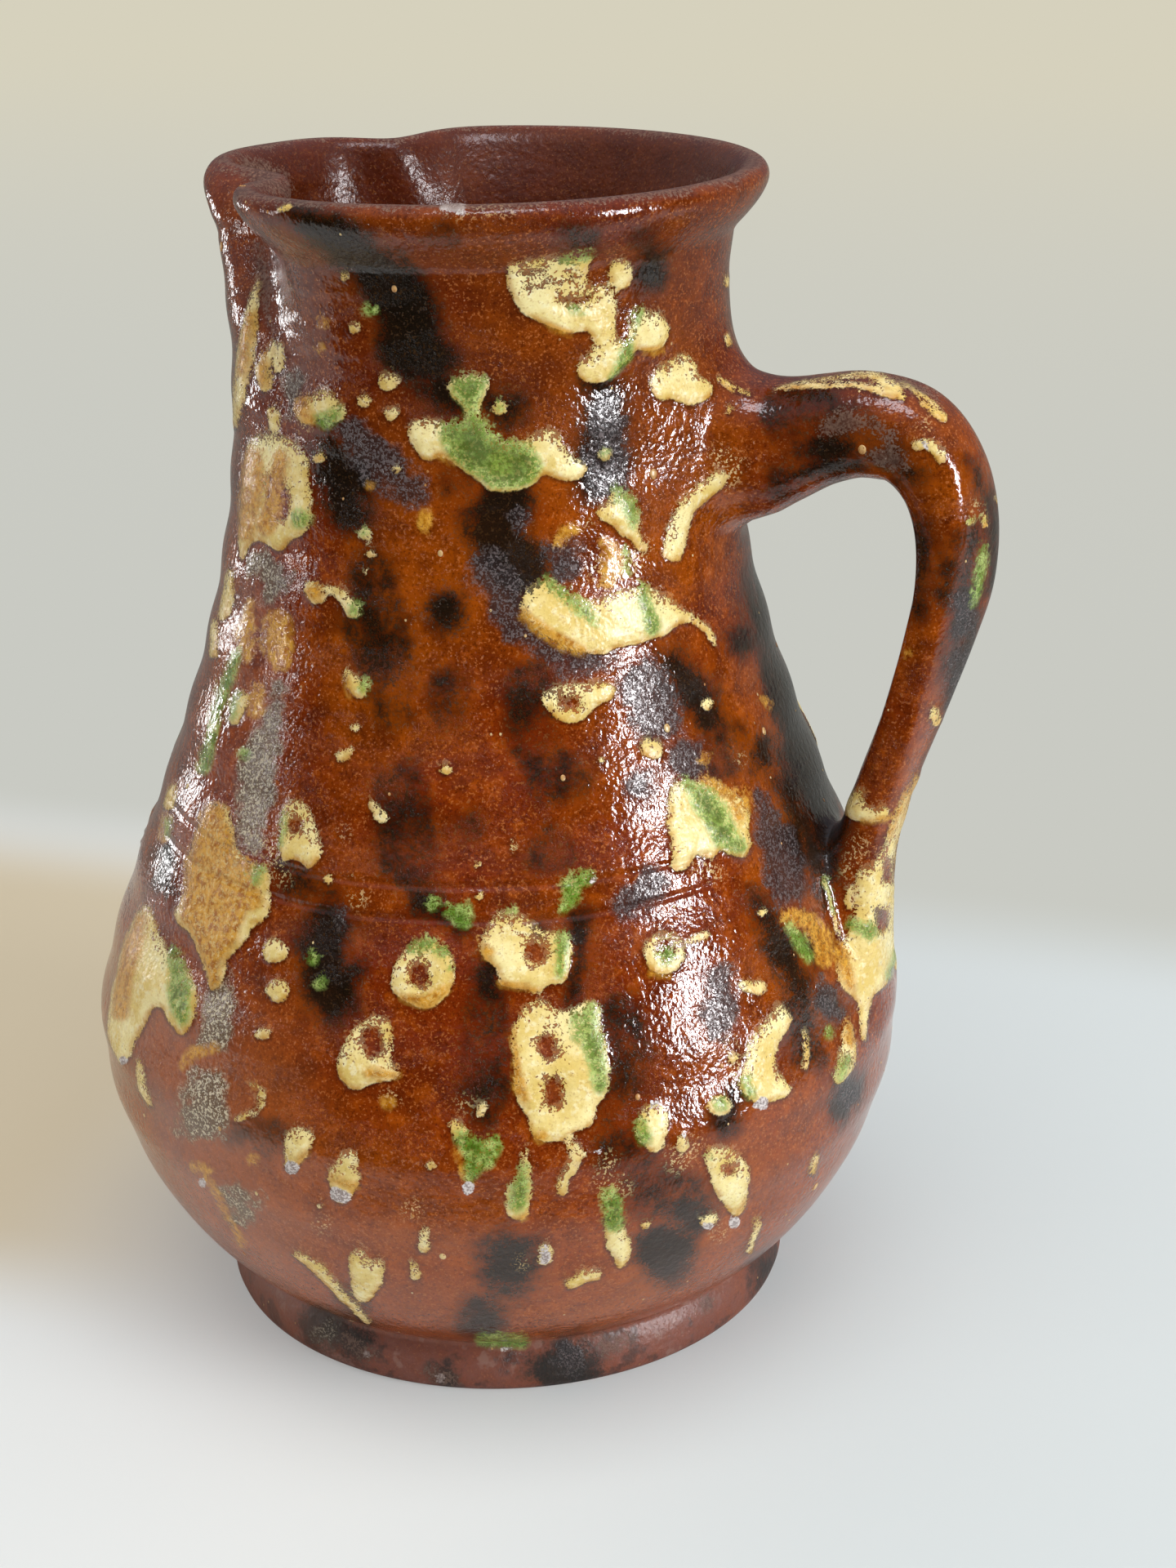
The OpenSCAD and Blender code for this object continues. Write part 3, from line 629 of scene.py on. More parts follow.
DARK_STROKES = [
    [(358, 260, 13), (392, 282, 21), (430, 306, 26), (468, 340, 32), (497, 383, 38), (506, 420, 38),
    (532, 440, 26)], [(538, 475, 22), (560, 490, 12)], [(700, 297, 10), (722, 296, 11)], [(792, 300, 9),
    (800, 315, 14), (795, 335, 12)], [(735, 480, 24), (735, 530, 27), (735, 585, 25)], [(398, 545, 16),
    (420, 590, 31), (423, 628, 22)], [(625, 612, 30), (600, 650, 34), (640, 700, 36)], [(546, 744, 20)],
    [(825, 815, 18), (850, 850, 20), (870, 880, 10)], [(935, 925, 16), (938, 905, 10)], [(405, 1125, 22),
    (395, 1170, 26), (405, 1215, 30), (432, 1190, 16)], [(520, 1108, 14), (560, 1128, 10)],
    [(595, 1190, 12), (592, 1215, 12)], [(708, 1130, 8), (712, 1180, 9), (700, 1218, 9)], [(625, 1547, 34)],
    [(814, 1535, 34)], [(838, 1486, 22)], [(594, 1619, 24)], [(545, 1690, 12)], [(925, 1100, 9),
    (945, 1135, 14), (960, 1168, 17), (975, 1198, 15), (985, 1240, 14), (990, 1290, 12)], [(1044, 1336, 16),
    (1030, 1362, 14)], [(204, 1045, 9), (203, 1085, 10)], [(350, 1060, 10), (362, 1080, 8)], [(985, 550, 8),
    # the strokes from (1108, 575) and (955, 592) on this line are painted shade on the underside of the
    # handle's top
    (1015, 546, 12), (1040, 545, 10)], [(1108, 575, 8), (1124, 583, 8)], [(955, 592, 9), (1000, 573, 8),
    (1050, 568, 7)], [(982, 1000, 16), (1003, 1062, 13)], [(990, 1130, 8), (998, 1165, 9)], [(1190, 655, 8),
    (1182, 700, 11), (1180, 740, 13), (1187, 780, 16), (1178, 820, 15), (1168, 850, 12)], [(1196, 575, 4),
    # the stroke from (1124, 650) that starts at the end of this line is painted shade along the handle's
    # inner edge
    (1205, 600, 6), (1214, 632, 6), (1219, 680, 8), (1214, 720, 6)], [(1124, 650, 5), (1124, 700, 6),
    # the stroke from (924, 700) on this line, the one from (965, 960) below and those from (982, 1000) and
    # (1008, 1050) are partly a stain and partly painted shade down the body's right edge behind the handle
    (1122, 750, 5)], [(1163, 690, 4), (1160, 730, 5)], [(924, 700, 7), (940, 780, 12), (960, 850, 19),
    (985, 910, 24), (1005, 965, 27), (1010, 1020, 18), (1015, 1070, 10)], [(965, 960, 13), (975, 1010, 14),
    (985, 1060, 10)], [(355, 1080, 8), (375, 1085, 6), (410, 1095, 4)], [(1008, 1050, 10), (1012, 1110, 6)],
    [(911, 786, 9)], [(700, 1675, 32), (665, 1680, 20)], [(936, 1552, 15), (928, 1574, 8)],
    [(392, 1622, 22), (432, 1640, 20)], [(290, 1387, 10)], [(1010, 1230, 14)], [(1070, 1120, 3)],
    [(900, 1340, 10), (885, 1375, 9)], [(750, 770, 4)], [(1096, 560, 8)], [(620, 505, 16), (600, 495, 8)],
    [(1110, 700, 10), (1112, 650, 8)], [(660, 1135, 6)], [(640, 600, 12)],
]
# Stains that only cloud the glaze.
FAINT_STROKES = [
    [(455, 700, 16), (460, 770, 30), (475, 830, 28), (480, 868, 14)], [(492, 968, 24), (498, 1050, 28)],
    [(650, 835, 16), (652, 895, 22), (672, 950, 24)], [(678, 1042, 20)], [(592, 1230, 16), (596, 1300, 26),
    (590, 1350, 18)], [(757, 1240, 16), (762, 1300, 22), (762, 1370, 20), (756, 1412, 14)],
    [(800, 1460, 34), (835, 1480, 28)], [(700, 960, 14)], [(575, 1010, 12)], [(560, 590, 14)],
    [(425, 1600, 16)], [(945, 1545, 16)], [(950, 505, 14), (1000, 508, 24), (1045, 528, 22),
    (1085, 556, 12)], [(900, 905, 14), (885, 935, 12)], [(330, 1395, 16)], [(545, 850, 14), (552, 880, 12)],
    [(540, 292, 10)],
]
GREY_STROKES = [
    [(352, 462, 9), (362, 480, 13), (355, 500, 9)], [(425, 530, 16), (470, 570, 22), (505, 600, 20)],
    [(692, 672, 18), (690, 700, 18)], [(600, 700, 26), (640, 770, 20), (690, 805, 12), (740, 812, 11)],
    [(322, 690, 14), (340, 712, 16), (330, 728, 9)], [(345, 840, 8), (335, 880, 12), (325, 920, 18),
    (313, 960, 22), (308, 1000, 22), (312, 1030, 14)], [(276, 1195, 6), (268, 1235, 18), (262, 1265, 22)],
    [(250, 1330, 24), (250, 1370, 26)], [(300, 1480, 20), (285, 1465, 10)], [(935, 985, 14),
    (945, 1020, 24), (960, 1060, 28), (972, 1090, 22)], [(735, 500, 20), (740, 590, 18)], [(790, 840, 30),
    (800, 880, 28)], [(840, 930, 22)], [(880, 1200, 20), (880, 1250, 22)], [(640, 640, 14)],
    [(1180, 740, 9), (1186, 770, 12)], [(1010, 1215, 14), (1015, 1235, 12)], [(1040, 1345, 12)],
    [(700, 1665, 18)], [(405, 1632, 14)], [(625, 1662, 9)], [(1183, 805, 12), (1165, 860, 8)],
    [(770, 1110, 14), (800, 1080, 16)], [(420, 1120, 10)], [(735, 545, 12)], [(780, 960, 14)],
    [(900, 1040, 8)],
]
WEAR_STROKES = [
    [(1012, 522, 8), (1040, 515, 10), (1070, 521, 9), (1086, 536, 8)], [(1075, 555, 9), (1095, 562, 10),
    (1112, 569, 6)], [(1098, 464, 5), (1122, 476, 7), (1146, 488, 6)], [(428, 1640, 8), (452, 1658, 6)],
    [(742, 1646, 9), (768, 1638, 7)], [(530, 1688, 8), (556, 1692, 5)], [(866, 1598, 6)], [(300, 205, 8),
    (318, 212, 12), (340, 225, 10), (352, 236, 6)], [(900, 218, 6), (850, 228, 5)], [(270, 208, 4),
    (296, 208, 4)], [(318, 300, 4), (325, 350, 5), (330, 400, 4)],
]
# Slip too thin to cover, broken into dust.
DUST_STROKES = [
    [(880, 560, 16), (900, 570, 16), (885, 590, 12)], [(735, 700, 18), (770, 690, 16), (790, 665, 12)],
    [(745, 1420, 14), (738, 1446, 12)], [(505, 1480, 14)], [(478, 1345, 12)], [(700, 1085, 14)],
    [(860, 1060, 14), (880, 1075, 10)], [(905, 1310, 14), (895, 1280, 10)], [(760, 1455, 14)],
    [(880, 1510, 12)], [(330, 1040, 16), (345, 1075, 12)], [(420, 1020, 9)], [(1050, 1035, 16),
    (1035, 1070, 10)], [(1195, 620, 12)], [(1130, 520, 10)], [(830, 1420, 18), (850, 1400, 14)],
    [(600, 1150, 12)], [(640, 1545, 10)], [(570, 1350, 12)], [(375, 520, 10)], [(720, 640, 10)],
    [(905, 930, 10)], [(395, 1500, 12)], [(440, 1100, 14)], [(560, 250, 18), (620, 255, 10)],
]
FAINT = -0.5  # how deep a faint stain counts, in millimetres
# The side that the photograph doesn't show: bearing in degrees, height and radius in millimetres.
UNSEEN_CREAM = [
    [(60, 132, 8), (66, 128, 9)], [(98, 92, 6), (99, 82, 7), (101, 72, 4)], [(140, 136, 7), (146, 130, 8)],
    [(120, 176, 6), (112, 172, 5)], [(165, 100, 6), (170, 92, 7)], [(78, 52, 4), (80, 44, 5)],
    [(122, 60, 5)], [(150, 66, 4), (152, 58, 5)], [(188, 60, 5), (190, 50, 5)], [(46, 88, 4), (49, 80, 5)],
    [(110, 112, 4)], [(180, 150, 4), (184, 140, 5)], [(85, 150, 4)], [(170, 38, 4)], [(130, 34, 5),
    (131, 27, 3)], [(35, 60, 4), (38, 52, 5)], [(200, 96, 6)], [(60, 190, 4), (72, 186, 5)],
    [(150, 196, 4)], [(30, 118, 4), (26, 108, 4)],
]
UNSEEN_GREEN = [
    [(74, 160, 5), (82, 156, 5)], [(64, 136, 5)], [(143, 138, 4)], [(100, 88, 4)], [(190, 118, 6),
    (196, 112, 4)], [(122, 58, 3)], [(52, 100, 3)], [(104, 44, 5)], [(160, 178, 4)],
]
UNSEEN_OCHRE = [
    [(168, 96, 6), (172, 88, 4)], [(58, 127, 4)], [(101, 74, 3)], [(90, 118, 5), (94, 110, 4)],
    [(138, 78, 5), (141, 70, 4)], [(192, 72, 5)], [(40, 150, 4)], [(110, 188, 3)],
]
UNSEEN_DARK = [
    [(50, 180, 7), (70, 165, 9)], [(110, 140, 9), (118, 120, 8)], [(75, 75, 8), (80, 60, 8)],
    [(155, 110, 9), (150, 90, 8)], [(180, 170, 8)], [(130, 45, 9)], [(185, 40, 8)], [(40, 40, 8)],
    [(100, 18, 7)], [(25, 90, 5)],
]
UNSEEN_GREY = [
    [(128, 100, 8), (130, 84, 9)], [(70, 110, 7), (66, 98, 6)], [(175, 70, 7)], [(95, 30, 6)],
    [(140, 165, 7)],
]


def rounded(corners, rounds=2):
    """The outline with its corners cut off twice."""
    p = np.array(corners, dtype=float)
    for _ in range(rounds):
        q = np.roll(p, -1, axis=0)
        p = np.stack((0.75 * p + 0.25 * q, 0.25 * p + 0.75 * q), axis=1).reshape(-1, 2)
    return p


def inside_outline(x, y, corners):
    """Distance inside an outline, negative outside."""
    p = rounded(corners)
    q = np.roll(p, -1, axis=0)
    best = np.full(len(x), 1e9)
    odd = np.zeros(len(x), dtype=bool)
    for (ax, ay), (bx, by) in zip(p, q):
        ex, ey = bx - ax, by - ay
        t = np.clip(((x - ax) * ex + (y - ay) * ey) / (ex * ex + ey * ey), 0, 1)
        best = np.minimum(best, (x - ax - t * ex) ** 2 + (y - ay - t * ey) ** 2)
        crosses = (ay > y) != (by > y)
        if ey != 0:
            odd ^= crosses & (x < ax + (y - ay) * ex / ey)
    return np.sqrt(best) * np.where(odd, 1, -1)


def inside_stroke(points, stroke):
    """Distance inside a row of joined circles or balls, negative outside."""
    best = np.full(len(points), -1e9)
    spots = [np.array(s[:-1], dtype=float) for s in stroke]
    sizes = [s[-1] for s in stroke]
    pairs = list(zip(range(len(stroke) - 1), range(1, len(stroke)))) or [(0, 0)]
    for i, j in pairs:
        run = spots[j] - spots[i]
        t = np.clip(((points - spots[i]) @ run) / max(run @ run, 1e-9), 0, 1)
        gap = np.linalg.norm(points - spots[i] - t[:, None] * run, axis=1)
        best = np.maximum(best, mix(sizes[i], sizes[j], t) - gap)
    return best


class Surface:
    """The outside of the jug as the photograph sees it, to lay slip on."""

    def __init__(self, mesh):
        self.points = coords(mesh)
        self.normals = normals(mesh)
        self.count = len(self.points)
        tree = tree_of(mesh)
        d = EYE - self.points
        seen = (d * self.normals).sum(axis=1) / np.linalg.norm(d, axis=1) > 0.02
        for i in np.nonzero(seen)[0]:
            p = self.points[i] + self.normals[i] * 0.4
            way = Vector(EYE - p)
            if tree.ray_cast(p, way.normalized(), way.length)[0] is not None:
                seen[i] = False
        kd = KDTree(int(seen.sum()))
        for k, i in enumerate(np.nonzero(seen)[0]):
            kd.insert(self.points[i], k)
        kd.balance()
        self.beyond = np.zeros(self.count)
        for i in np.nonzero(~seen)[0]:
            self.beyond[i] = kd.find(self.points[i])[2]
        noise.seed_set(EDGE_SEED)
        wobbled = self.points + (self.wander(7, 0.55) + self.wander(2.3, 0.22))
        self.loose = wobbled + self.wander(8, 3.2)
        x, y, self.scale = to_photo(wobbled)
        self.pixels = np.stack((x, y), axis=1)
        self.lower = to_photo(self.points - np.array((0, 0, 1.0)))[1] - to_photo(self.points)[1]

    def wander(self, pitch, size):
        """Smooth random offsets that make the splashes' edges uneven."""
        return np.array([noise.noise_vector(Vector(p / pitch)) for p in self.points]) * size

    def near(self, low, high):
        ok = (self.pixels > np.array(low) - 60).all(axis=1) & (self.pixels < np.array(high) + 60).all(axis=1)
        return np.nonzero(ok & (self.beyond < 9))[0]

    def seen_area(self, corners):
        c = np.array(corners)
        i = self.near(c.min(axis=0), c.max(axis=0))
        return i, inside_outline(self.pixels[i, 0], self.pixels[i, 1], corners) / self.scale[i]

    def seen_stroke(self, stroke):
        c = np.array(stroke, dtype=float)
        i = self.near((c[:, :2] - c[:, 2:]).min(axis=0), (c[:, :2] + c[:, 2:]).max(axis=0))
        return i, inside_stroke(self.pixels[i], stroke) / self.scale[i]

    def unseen_stroke(self, stroke):
        balls = []
        for bearing, z, size in stroke:
            r, b = float(wall_r(z)), math.radians(bearing)
            balls.append((r * math.cos(b), r * math.sin(b), z, size))
        return np.arange(self.count), inside_stroke(self.loose, balls)

    def laid(self, areas, strokes, unseen):
        """How deep inside the slip each point lies, in millimetres, from -8 outside."""
        depth = np.full(self.count, -8.0)
        for draw, items in ((self.seen_area, areas), (self.seen_stroke, strokes)):
            for item in items:
                i, value = draw(item)
                depth[i] = np.maximum(depth[i], value - 0.6 * self.beyond[i])
        for stroke in unseen:
            i, value = self.unseen_stroke(stroke)
            depth[i] = np.maximum(depth[i], np.where(self.beyond[i] > 4, value, -8))
        return np.clip(depth, -8, 8)


def turned(points):
    """Radius, turn from the spout in degrees and height of points."""
    x, y, z = points.T
    return np.hypot(x, y), np.degrees(np.arctan2(y, x)) % 360 - 180, z


def within(points):
    """1 inside the jug's cavity, 0 on the outside, through the lip's crest."""
    r, a, z = turned(points)
    middle = turned_r(z) + pinch(a, z) - 0.55 * WALL
    lip = flare_r(LIP_Z) + pinch(a, z) + 0.42 * LIP_OUT
    edge = np.where(z > LIP_Z, mix(middle, lip, soft((z - LIP_Z) / LIP_H)), middle)
    return np.where(z > FLOOR - 1.5, soft(0.5 + (edge - r) / 2.4), 0.0)


def crest_depth(points):
    """Distance inside the worn line on top of the rim."""
    r, a, z = turned(points)
    crest = flare_r(LIP_Z) + 0.62 * LIP_OUT + pinch(a, np.full_like(z, JUG_H))
    top = JUG_H + lift(a)
    return np.where(z > LIP_Z, 1.4 - np.hypot(r - crest, 1.6 * (z - top)), -8.0)


def give(mesh, name, values):
    values = np.asarray(values, dtype=np.float32)
    mesh.attributes.new(name, "FLOAT", "POINT").data.foreach_set("value", values)


def upper_edges(side):
    """1 where the slip above has thinned out, 0 along the edges it has run down to."""
    depths = []
    for way in (1, -1):
        side.pixels[:, 1] += way * side.lower
        depths.append(side.laid(CREAM_AREAS + GREEN_AREAS, CREAM_STROKES + GREEN_STROKES, []))
        side.pixels[:, 1] -= way * side.lower
    return soft(0.5 + 0.32 * (depths[0] - depths[1]))


def lay_slip(mesh):
    """Gives the skin one field of depth for each kind of splash, and fields for the cavity and the foot."""
    side = Surface(mesh)
    hidden = within(side.points)
    out = hidden < 0.5
    bare = side.laid([], CREAM_HOLES, [])
    layers = {
        "cream": np.minimum(side.laid(CREAM_AREAS, CREAM_STROKES, UNSEEN_CREAM), 0.3 - bare),
        "green": side.laid(GREEN_AREAS, GREEN_STROKES, UNSEEN_GREEN),
        "ochre": side.laid([], OCHRE_STROKES, UNSEEN_OCHRE),
        "white": side.laid([], WHITE_TIP_AND_HIGHLIGHT_STROKES, []),
        "dark": np.maximum(side.laid([], DARK_STROKES, UNSEEN_DARK),
                           np.minimum(side.laid([], FAINT_STROKES, []), FAINT)),
        "grey": side.laid([], GREY_STROKES, UNSEEN_GREY),
        "wear": side.laid([], WEAR_STROKES, []),
        "dust": side.laid([], DUST_STROKES, []),
    }
    layers["wear"] = np.maximum(layers["wear"], crest_depth(side.points))
    for name, values in layers.items():
        keep = out | (name in ("wear", "white"))
        give(mesh, name, np.where(keep, values, -8.0))
    give(mesh, "upper", np.maximum(upper_edges(side), soft((bare + 1.8) / 1.2)))
    give(mesh, "inside", hidden)
    give(mesh, "underside", ((side.points[:, 2] < 0.9) & (side.normals[:, 2] < -0.3)).astype(float))


# Nodes

def linear(text):
    """A colour written as #rrggbb, for a linear colour socket."""
    out = []
    for i in (1, 3, 5):
        c = int(text[i:i + 2], 16) / 255
        out.append(c / 12.92 if c <= 0.04045 else ((c + 0.055) / 1.055) ** 2.4)
    return (*out, 1.0)


class Maker:
    """Adds nodes to a tree; an input is a value or another node's output."""

    def __init__(self, tree):
        self.tree = tree

    def add(self, kind, inputs=(), **settings):
        node = self.tree.nodes.new(kind)
        for key, value in settings.items():
            setattr(node, key, value)
        for key, value in dict(inputs).items():
            self.put(node.inputs[key], value)
        return node

    def put(self, socket, value):
        if isinstance(value, bpy.types.NodeSocket):
            self.tree.links.new(value, socket)
        else:
            socket.default_value = value

    def math(self, kind, a, b=0.0):
        node = self.add("ShaderNodeMath", operation=kind)
        self.put(node.inputs[0], a)
        self.put(node.inputs[1], b)
        return node.outputs[0]

    def sum(self, *values):
        total = values[0]
        for value in values[1:]:
            total = self.math("ADD", total, value)
        return total

    def times(self, a, b):
        return self.math("MULTIPLY", a, b)

    def less(self, share):
        return self.math("SUBTRACT", 1.0, share)

    def swing(self, value, size):
        """A noise drawn out about nought."""
        return self.times(self.sum(value, -0.5), size)

    def weighed(self, *pairs):
        return self.sum(*[self.times(value, weight) for value, weight in pairs])

    def along(self, x, y, way):
        return self.weighed((x, way[0]), (y, way[1]))

    def step(self, value, low, high, out_low=0.0, out_high=1.0):
        node = self.add("ShaderNodeMapRange", interpolation_type="SMOOTHSTEP")
        for key, item in (("Value", value), ("From Min", low), ("From Max", high), ("To Min", out_low),
                          ("To Max", out_high)):
            self.put(node.inputs[key], item)
        return node.outputs["Result"]

    def blend(self, share, a, b):
        node = self.add("ShaderNodeMix", data_type="RGBA")
        for key, value in ((0, share), (6, a), (7, b)):
            self.put(node.inputs[key], linear(value) if isinstance(value, str) else value)
        return node.outputs[2]

    def coats(self, colour, *coats):
        """The colour under coats, each a mask, its share and its tone."""
        for mask, share, tone in coats:
            colour = self.blend(self.times(mask, share), colour, tone)
        return colour

    def noise(self, where, scale, detail, rough, seed):
        inputs = {"Vector": where, "Scale": scale, "Detail": detail, "Roughness": rough, "W": seed}
        return self.add("ShaderNodeTexNoise", inputs, noise_dimensions="4D").outputs["Fac"]

    def layer(self, name):
        return self.add("ShaderNodeAttribute", attribute_name=name).outputs["Fac"]


def new_material(name):
    material = bpy.data.materials.new(name)
    material.use_nodes = True
    material.node_tree.nodes.clear()
    return material, Maker(material.node_tree)


def finish_material(m, shader):
    out = m.add("ShaderNodeOutputMaterial")
    m.put(out.inputs["Surface"], shader.outputs[0])


def slip_mask(m, layer, edge, blur=0.16):
    return m.step(m.sum(layer, edge), -blur, blur)


def glaze_fields(m):
    """The noises and places that the coats and the relief of the glaze share."""
    where = m.add("ShaderNodeTexCoord").outputs["Object"]
    x, y, height = m.add("ShaderNodeSeparateXYZ", {0: where}).outputs
    n = SimpleNamespace(where=where, out_x=x, height=height, across=m.along(x, y, PHOTO_RIGHT))
    n.broad = m.noise(where, 24, 3, 0.6, 1.0)
    n.patchy = m.noise(where, 110, 3, 0.6, 2.0)
    n.cloud = m.noise(where, 300, 3, 0.6, 11.0)
    n.grain = m.noise(where, 700, 3, 0.6, 3.0)
    n.fine = m.noise(where, 1500, 2, 0.6, 4.0)
    n.dust = m.noise(where, 2800, 1, 0.5, 5.0)
    n.speck = m.weighed((n.fine, 0.6), (n.dust, 0.4))
    n.left = m.step(n.across, -0.022, -0.048)
    n.foot = m.step(height, 0.0135, 0.0085)
    n.upper = m.layer("upper")
    uneven = m.sum(m.swing(n.grain, 1.6), m.swing(n.speck, 2.8))
    n.ragged = m.times(uneven, m.sum(0.35, m.times(n.upper, 1.7)))
    return n


def ground_colour(m, n):
    """Glaze over the red body, mottled, with lighter and darker flecks, painted shade inside the cavity and a
    scuffed foot.
    """
    scuffed = m.noise(n.where, 190, 3, 0.6, 13.0)
    return m.coats(
        m.blend(m.step(n.broad, 0.40, 0.60), "#762804", "#924204"),
        (m.step(n.patchy, 0.44, 0.62), 0.55, "#581C03"),
        (m.step(n.cloud, 0.50, 0.66), 0.38, "#B4540A"),
        (m.step(n.cloud, 0.48, 0.34), 0.40, "#4A1604"),
        (m.step(n.height, 0.160, 0.195), 0.45, "#54200C"),
        (m.step(n.height, 0.085, 0.025), 0.35, "#B45A16"),
        (m.step(n.speck, 0.54, 0.62), 0.50, "#C2743A"),
        (m.step(n.speck, 0.46, 0.38), 0.45, "#340F03"),
        # painted shade: the glaze is darkened inside the cavity
        (m.layer("inside"), 0.6, "#431806"),
        (n.foot, m.step(n.cloud, 0.3, 0.7, 0.45, 0.85), "#7E4C40"),
        (n.foot, m.step(scuffed, 0.53, 0.63, 0.0, 0.7), "#3A2620"),
        (n.foot, m.step(scuffed, 0.41, 0.34, 0.0, 0.5), "#A07A6C"))


def stain_shade_and_sheen_coat(m, n, colour):
    """Soft dark stains, in a few places partly painted shade, a pinkish painted sheen low on the left, and
    granular manganese that is paler towards the left.
    """
    spread = m.sum(m.swing(n.patchy, 8), m.swing(n.cloud, 4), m.swing(n.speck, 10))
    stain_and_shade = m.step(m.sum(m.layer("dark"), spread), -2.8, 1.5)
    n.grey = m.step(m.sum(m.layer("grey"), m.swing(n.patchy, 6), m.swing(n.cloud, 8)), -1.4, 1.4)
    n.grit = m.times(n.grey, m.step(m.weighed((n.fine, 0.55), (n.dust, 0.45)), 0.49, 0.56))
    return m.coats(
        colour,
        (stain_and_shade, 0.95, m.blend(m.step(n.speck, 0.5, 0.64), "#0E100A", "#2A2012")),
        # painted sheen: a pinkish haze on the lower left of the body, where the glaze reflects the bright
        # room
        (m.times(n.left, m.step(n.height, 0.100, 0.070)), 0.2, "#B87A58"),
        (n.grey, 0.8, m.blend(n.left, "#2C2322", "#665840")),
        (n.grit, 0.8, m.blend(n.left, "#6C5F5E", "#E8D8B8")))


def cream_coat(m, n, colour):
    """Cream slip: ragged and pitted where it thins out above, crisp and thick where it has run down, with a
    painted shadow just below its lower edges.
    """
    depth, crisp = m.layer("cream"), m.less(n.upper)
    thin = m.times(m.step(depth, 5.0, 0.0), m.sum(0.12, m.times(n.upper, 0.88)))
    level = m.sum(0.655, m.times(thin, -0.185))
    n.pits = m.step(m.weighed((n.speck, 0.7), (n.grain, 0.3)), level, m.sum(level, 0.025))
    n.cream = m.times(slip_mask(m, depth, n.ragged), m.less(m.times(n.pits, 0.88)))
    tone = m.coats(
        m.blend(m.step(n.patchy, 0.38, 0.62), "#E4C670", "#F8E7A6"),
        (m.step(n.grain, 0.50, 0.66), 0.6, "#FBF2C8"),
        (m.step(n.speck, 0.53, 0.62), 0.40, "#C08F48"),
        (m.times(m.step(depth, 1.4, 0.1), crisp), m.step(n.cloud, 0.42, 0.58, 0.25, 0.85), "#BC7E14"))
    # painted shadow: a dark line on the glaze just below the slip's lower edges, as if cast by the raised
    # slip
    colour = m.coats(colour, (m.times(m.step(depth, -0.9, -0.1), crisp), 0.5, "#260E04"))
    dusting = m.times(m.step(m.layer("dust"), -1.0, 2.0), m.step(n.speck, 0.535, 0.56))
    return m.coats(m.blend(n.cream, colour, tone), (dusting, 0.75, "#E2C488"))


def ochre_coat(m, n, colour):
    """Ochre slip, duller towards the left."""
    grain = m.step(n.grain, 0.34, 0.62)
    bare = m.times(m.step(n.speck, 0.51, 0.58), 0.55)
    n.ochre = m.times(slip_mask(m, m.layer("ochre"), n.ragged, 0.7), m.less(bare))
    tone = m.coats(m.blend(grain, "#A8640A", "#DCA23A"), (n.left, 0.7, m.blend(grain, "#A05E18", "#D89E38")))
    return m.blend(n.ochre, colour, tone)


def green_coat(m, n, colour):
    """Copper green, pale and dotted along its edges and deep in the middle."""
    depth = m.layer("green")
    bare = m.times(m.step(n.speck, 0.54, 0.57), m.step(depth, 3.0, 0.6, 0.15, 0.6))
    green = m.times(slip_mask(m, depth, n.ragged, 0.7), m.less(bare))
    mottle = m.step(m.weighed((n.grain, 0.5), (n.cloud, 0.5)), 0.44, 0.60)
    edge, deep = m.blend(mottle, "#6C9232", "#B8CC74"), m.blend(mottle, "#2E580A", "#709230")
    tone = m.blend(m.step(depth, 0.5, 2.6), edge, deep)
    tone = m.coats(tone, (m.step(n.speck, 0.47, 0.44), 0.7, "#4A5216"))
    return m.coats(colour, (green, 0.92, tone))


def worn_and_highlight_coat(m, n, colour):
    """Bare white tips, one of them a painted highlight on the handle, and wear along the rim, the handle and
    the foot.
    """
    n.white = slip_mask(m, m.layer("white"), m.times(n.ragged, 0.6))
    rubbed = m.sum(m.swing(n.patchy, 7), m.swing(n.speck, 9))
    n.wear = m.times(slip_mask(m, m.layer("wear"), rubbed, 0.6), 0.7)
    colour = m.blend(n.white, colour, m.blend(m.step(n.speck, 0.44, 0.56), "#9A8A84", "#E0D6D2"))
    return m.blend(n.wear, colour, m.blend(m.step(n.speck, 0.44, 0.58), "#54362A", "#7E6252"))


def glaze_skin(m, n):
    """Throwing lines on the neck, two turned lines on the belly, and the skin of glaze and slip."""
    turning = m.math("SINE", m.sum(m.times(n.height, TURNING), m.times(n.patchy, 3.0)))
    turning = m.times(turning, m.times(m.step(n.height, 0.150, 0.178), m.step(n.height, 0.2115, 0.207)))
    turning = m.times(turning, m.step(n.out_x, 0.036, 0.020))
    off_middle = m.math("ABSOLUTE", m.sum(n.height, -BELLY_LINE, m.times(n.broad, 0.002)))
    belly_line = m.step(m.math("ABSOLUTE", m.sum(off_middle, -0.0028)), 0.0010, 0.0)
    belly_line = m.times(belly_line, m.times(m.step(n.out_x, 0.062, 0.048), m.step(n.across, -0.066, -0.052)))
    relief = m.weighed(
        (m.noise(n.where, 420, 2, 0.5, 6.0), 0.34), (m.noise(n.where, 850, 1, 0.5, 12.0), 0.38),
        (n.fine, 0.16), (n.dust, 0.05), (n.cream, 0.30), (n.ochre, 0.12), (n.grit, 0.5), (n.pits, -0.15),
        (turning, 0.09), (belly_line, -0.60))
    return m.add("ShaderNodeBump", {"Height": relief, "Distance": 0.00040, "Strength": 1.0}).outputs["Normal"]


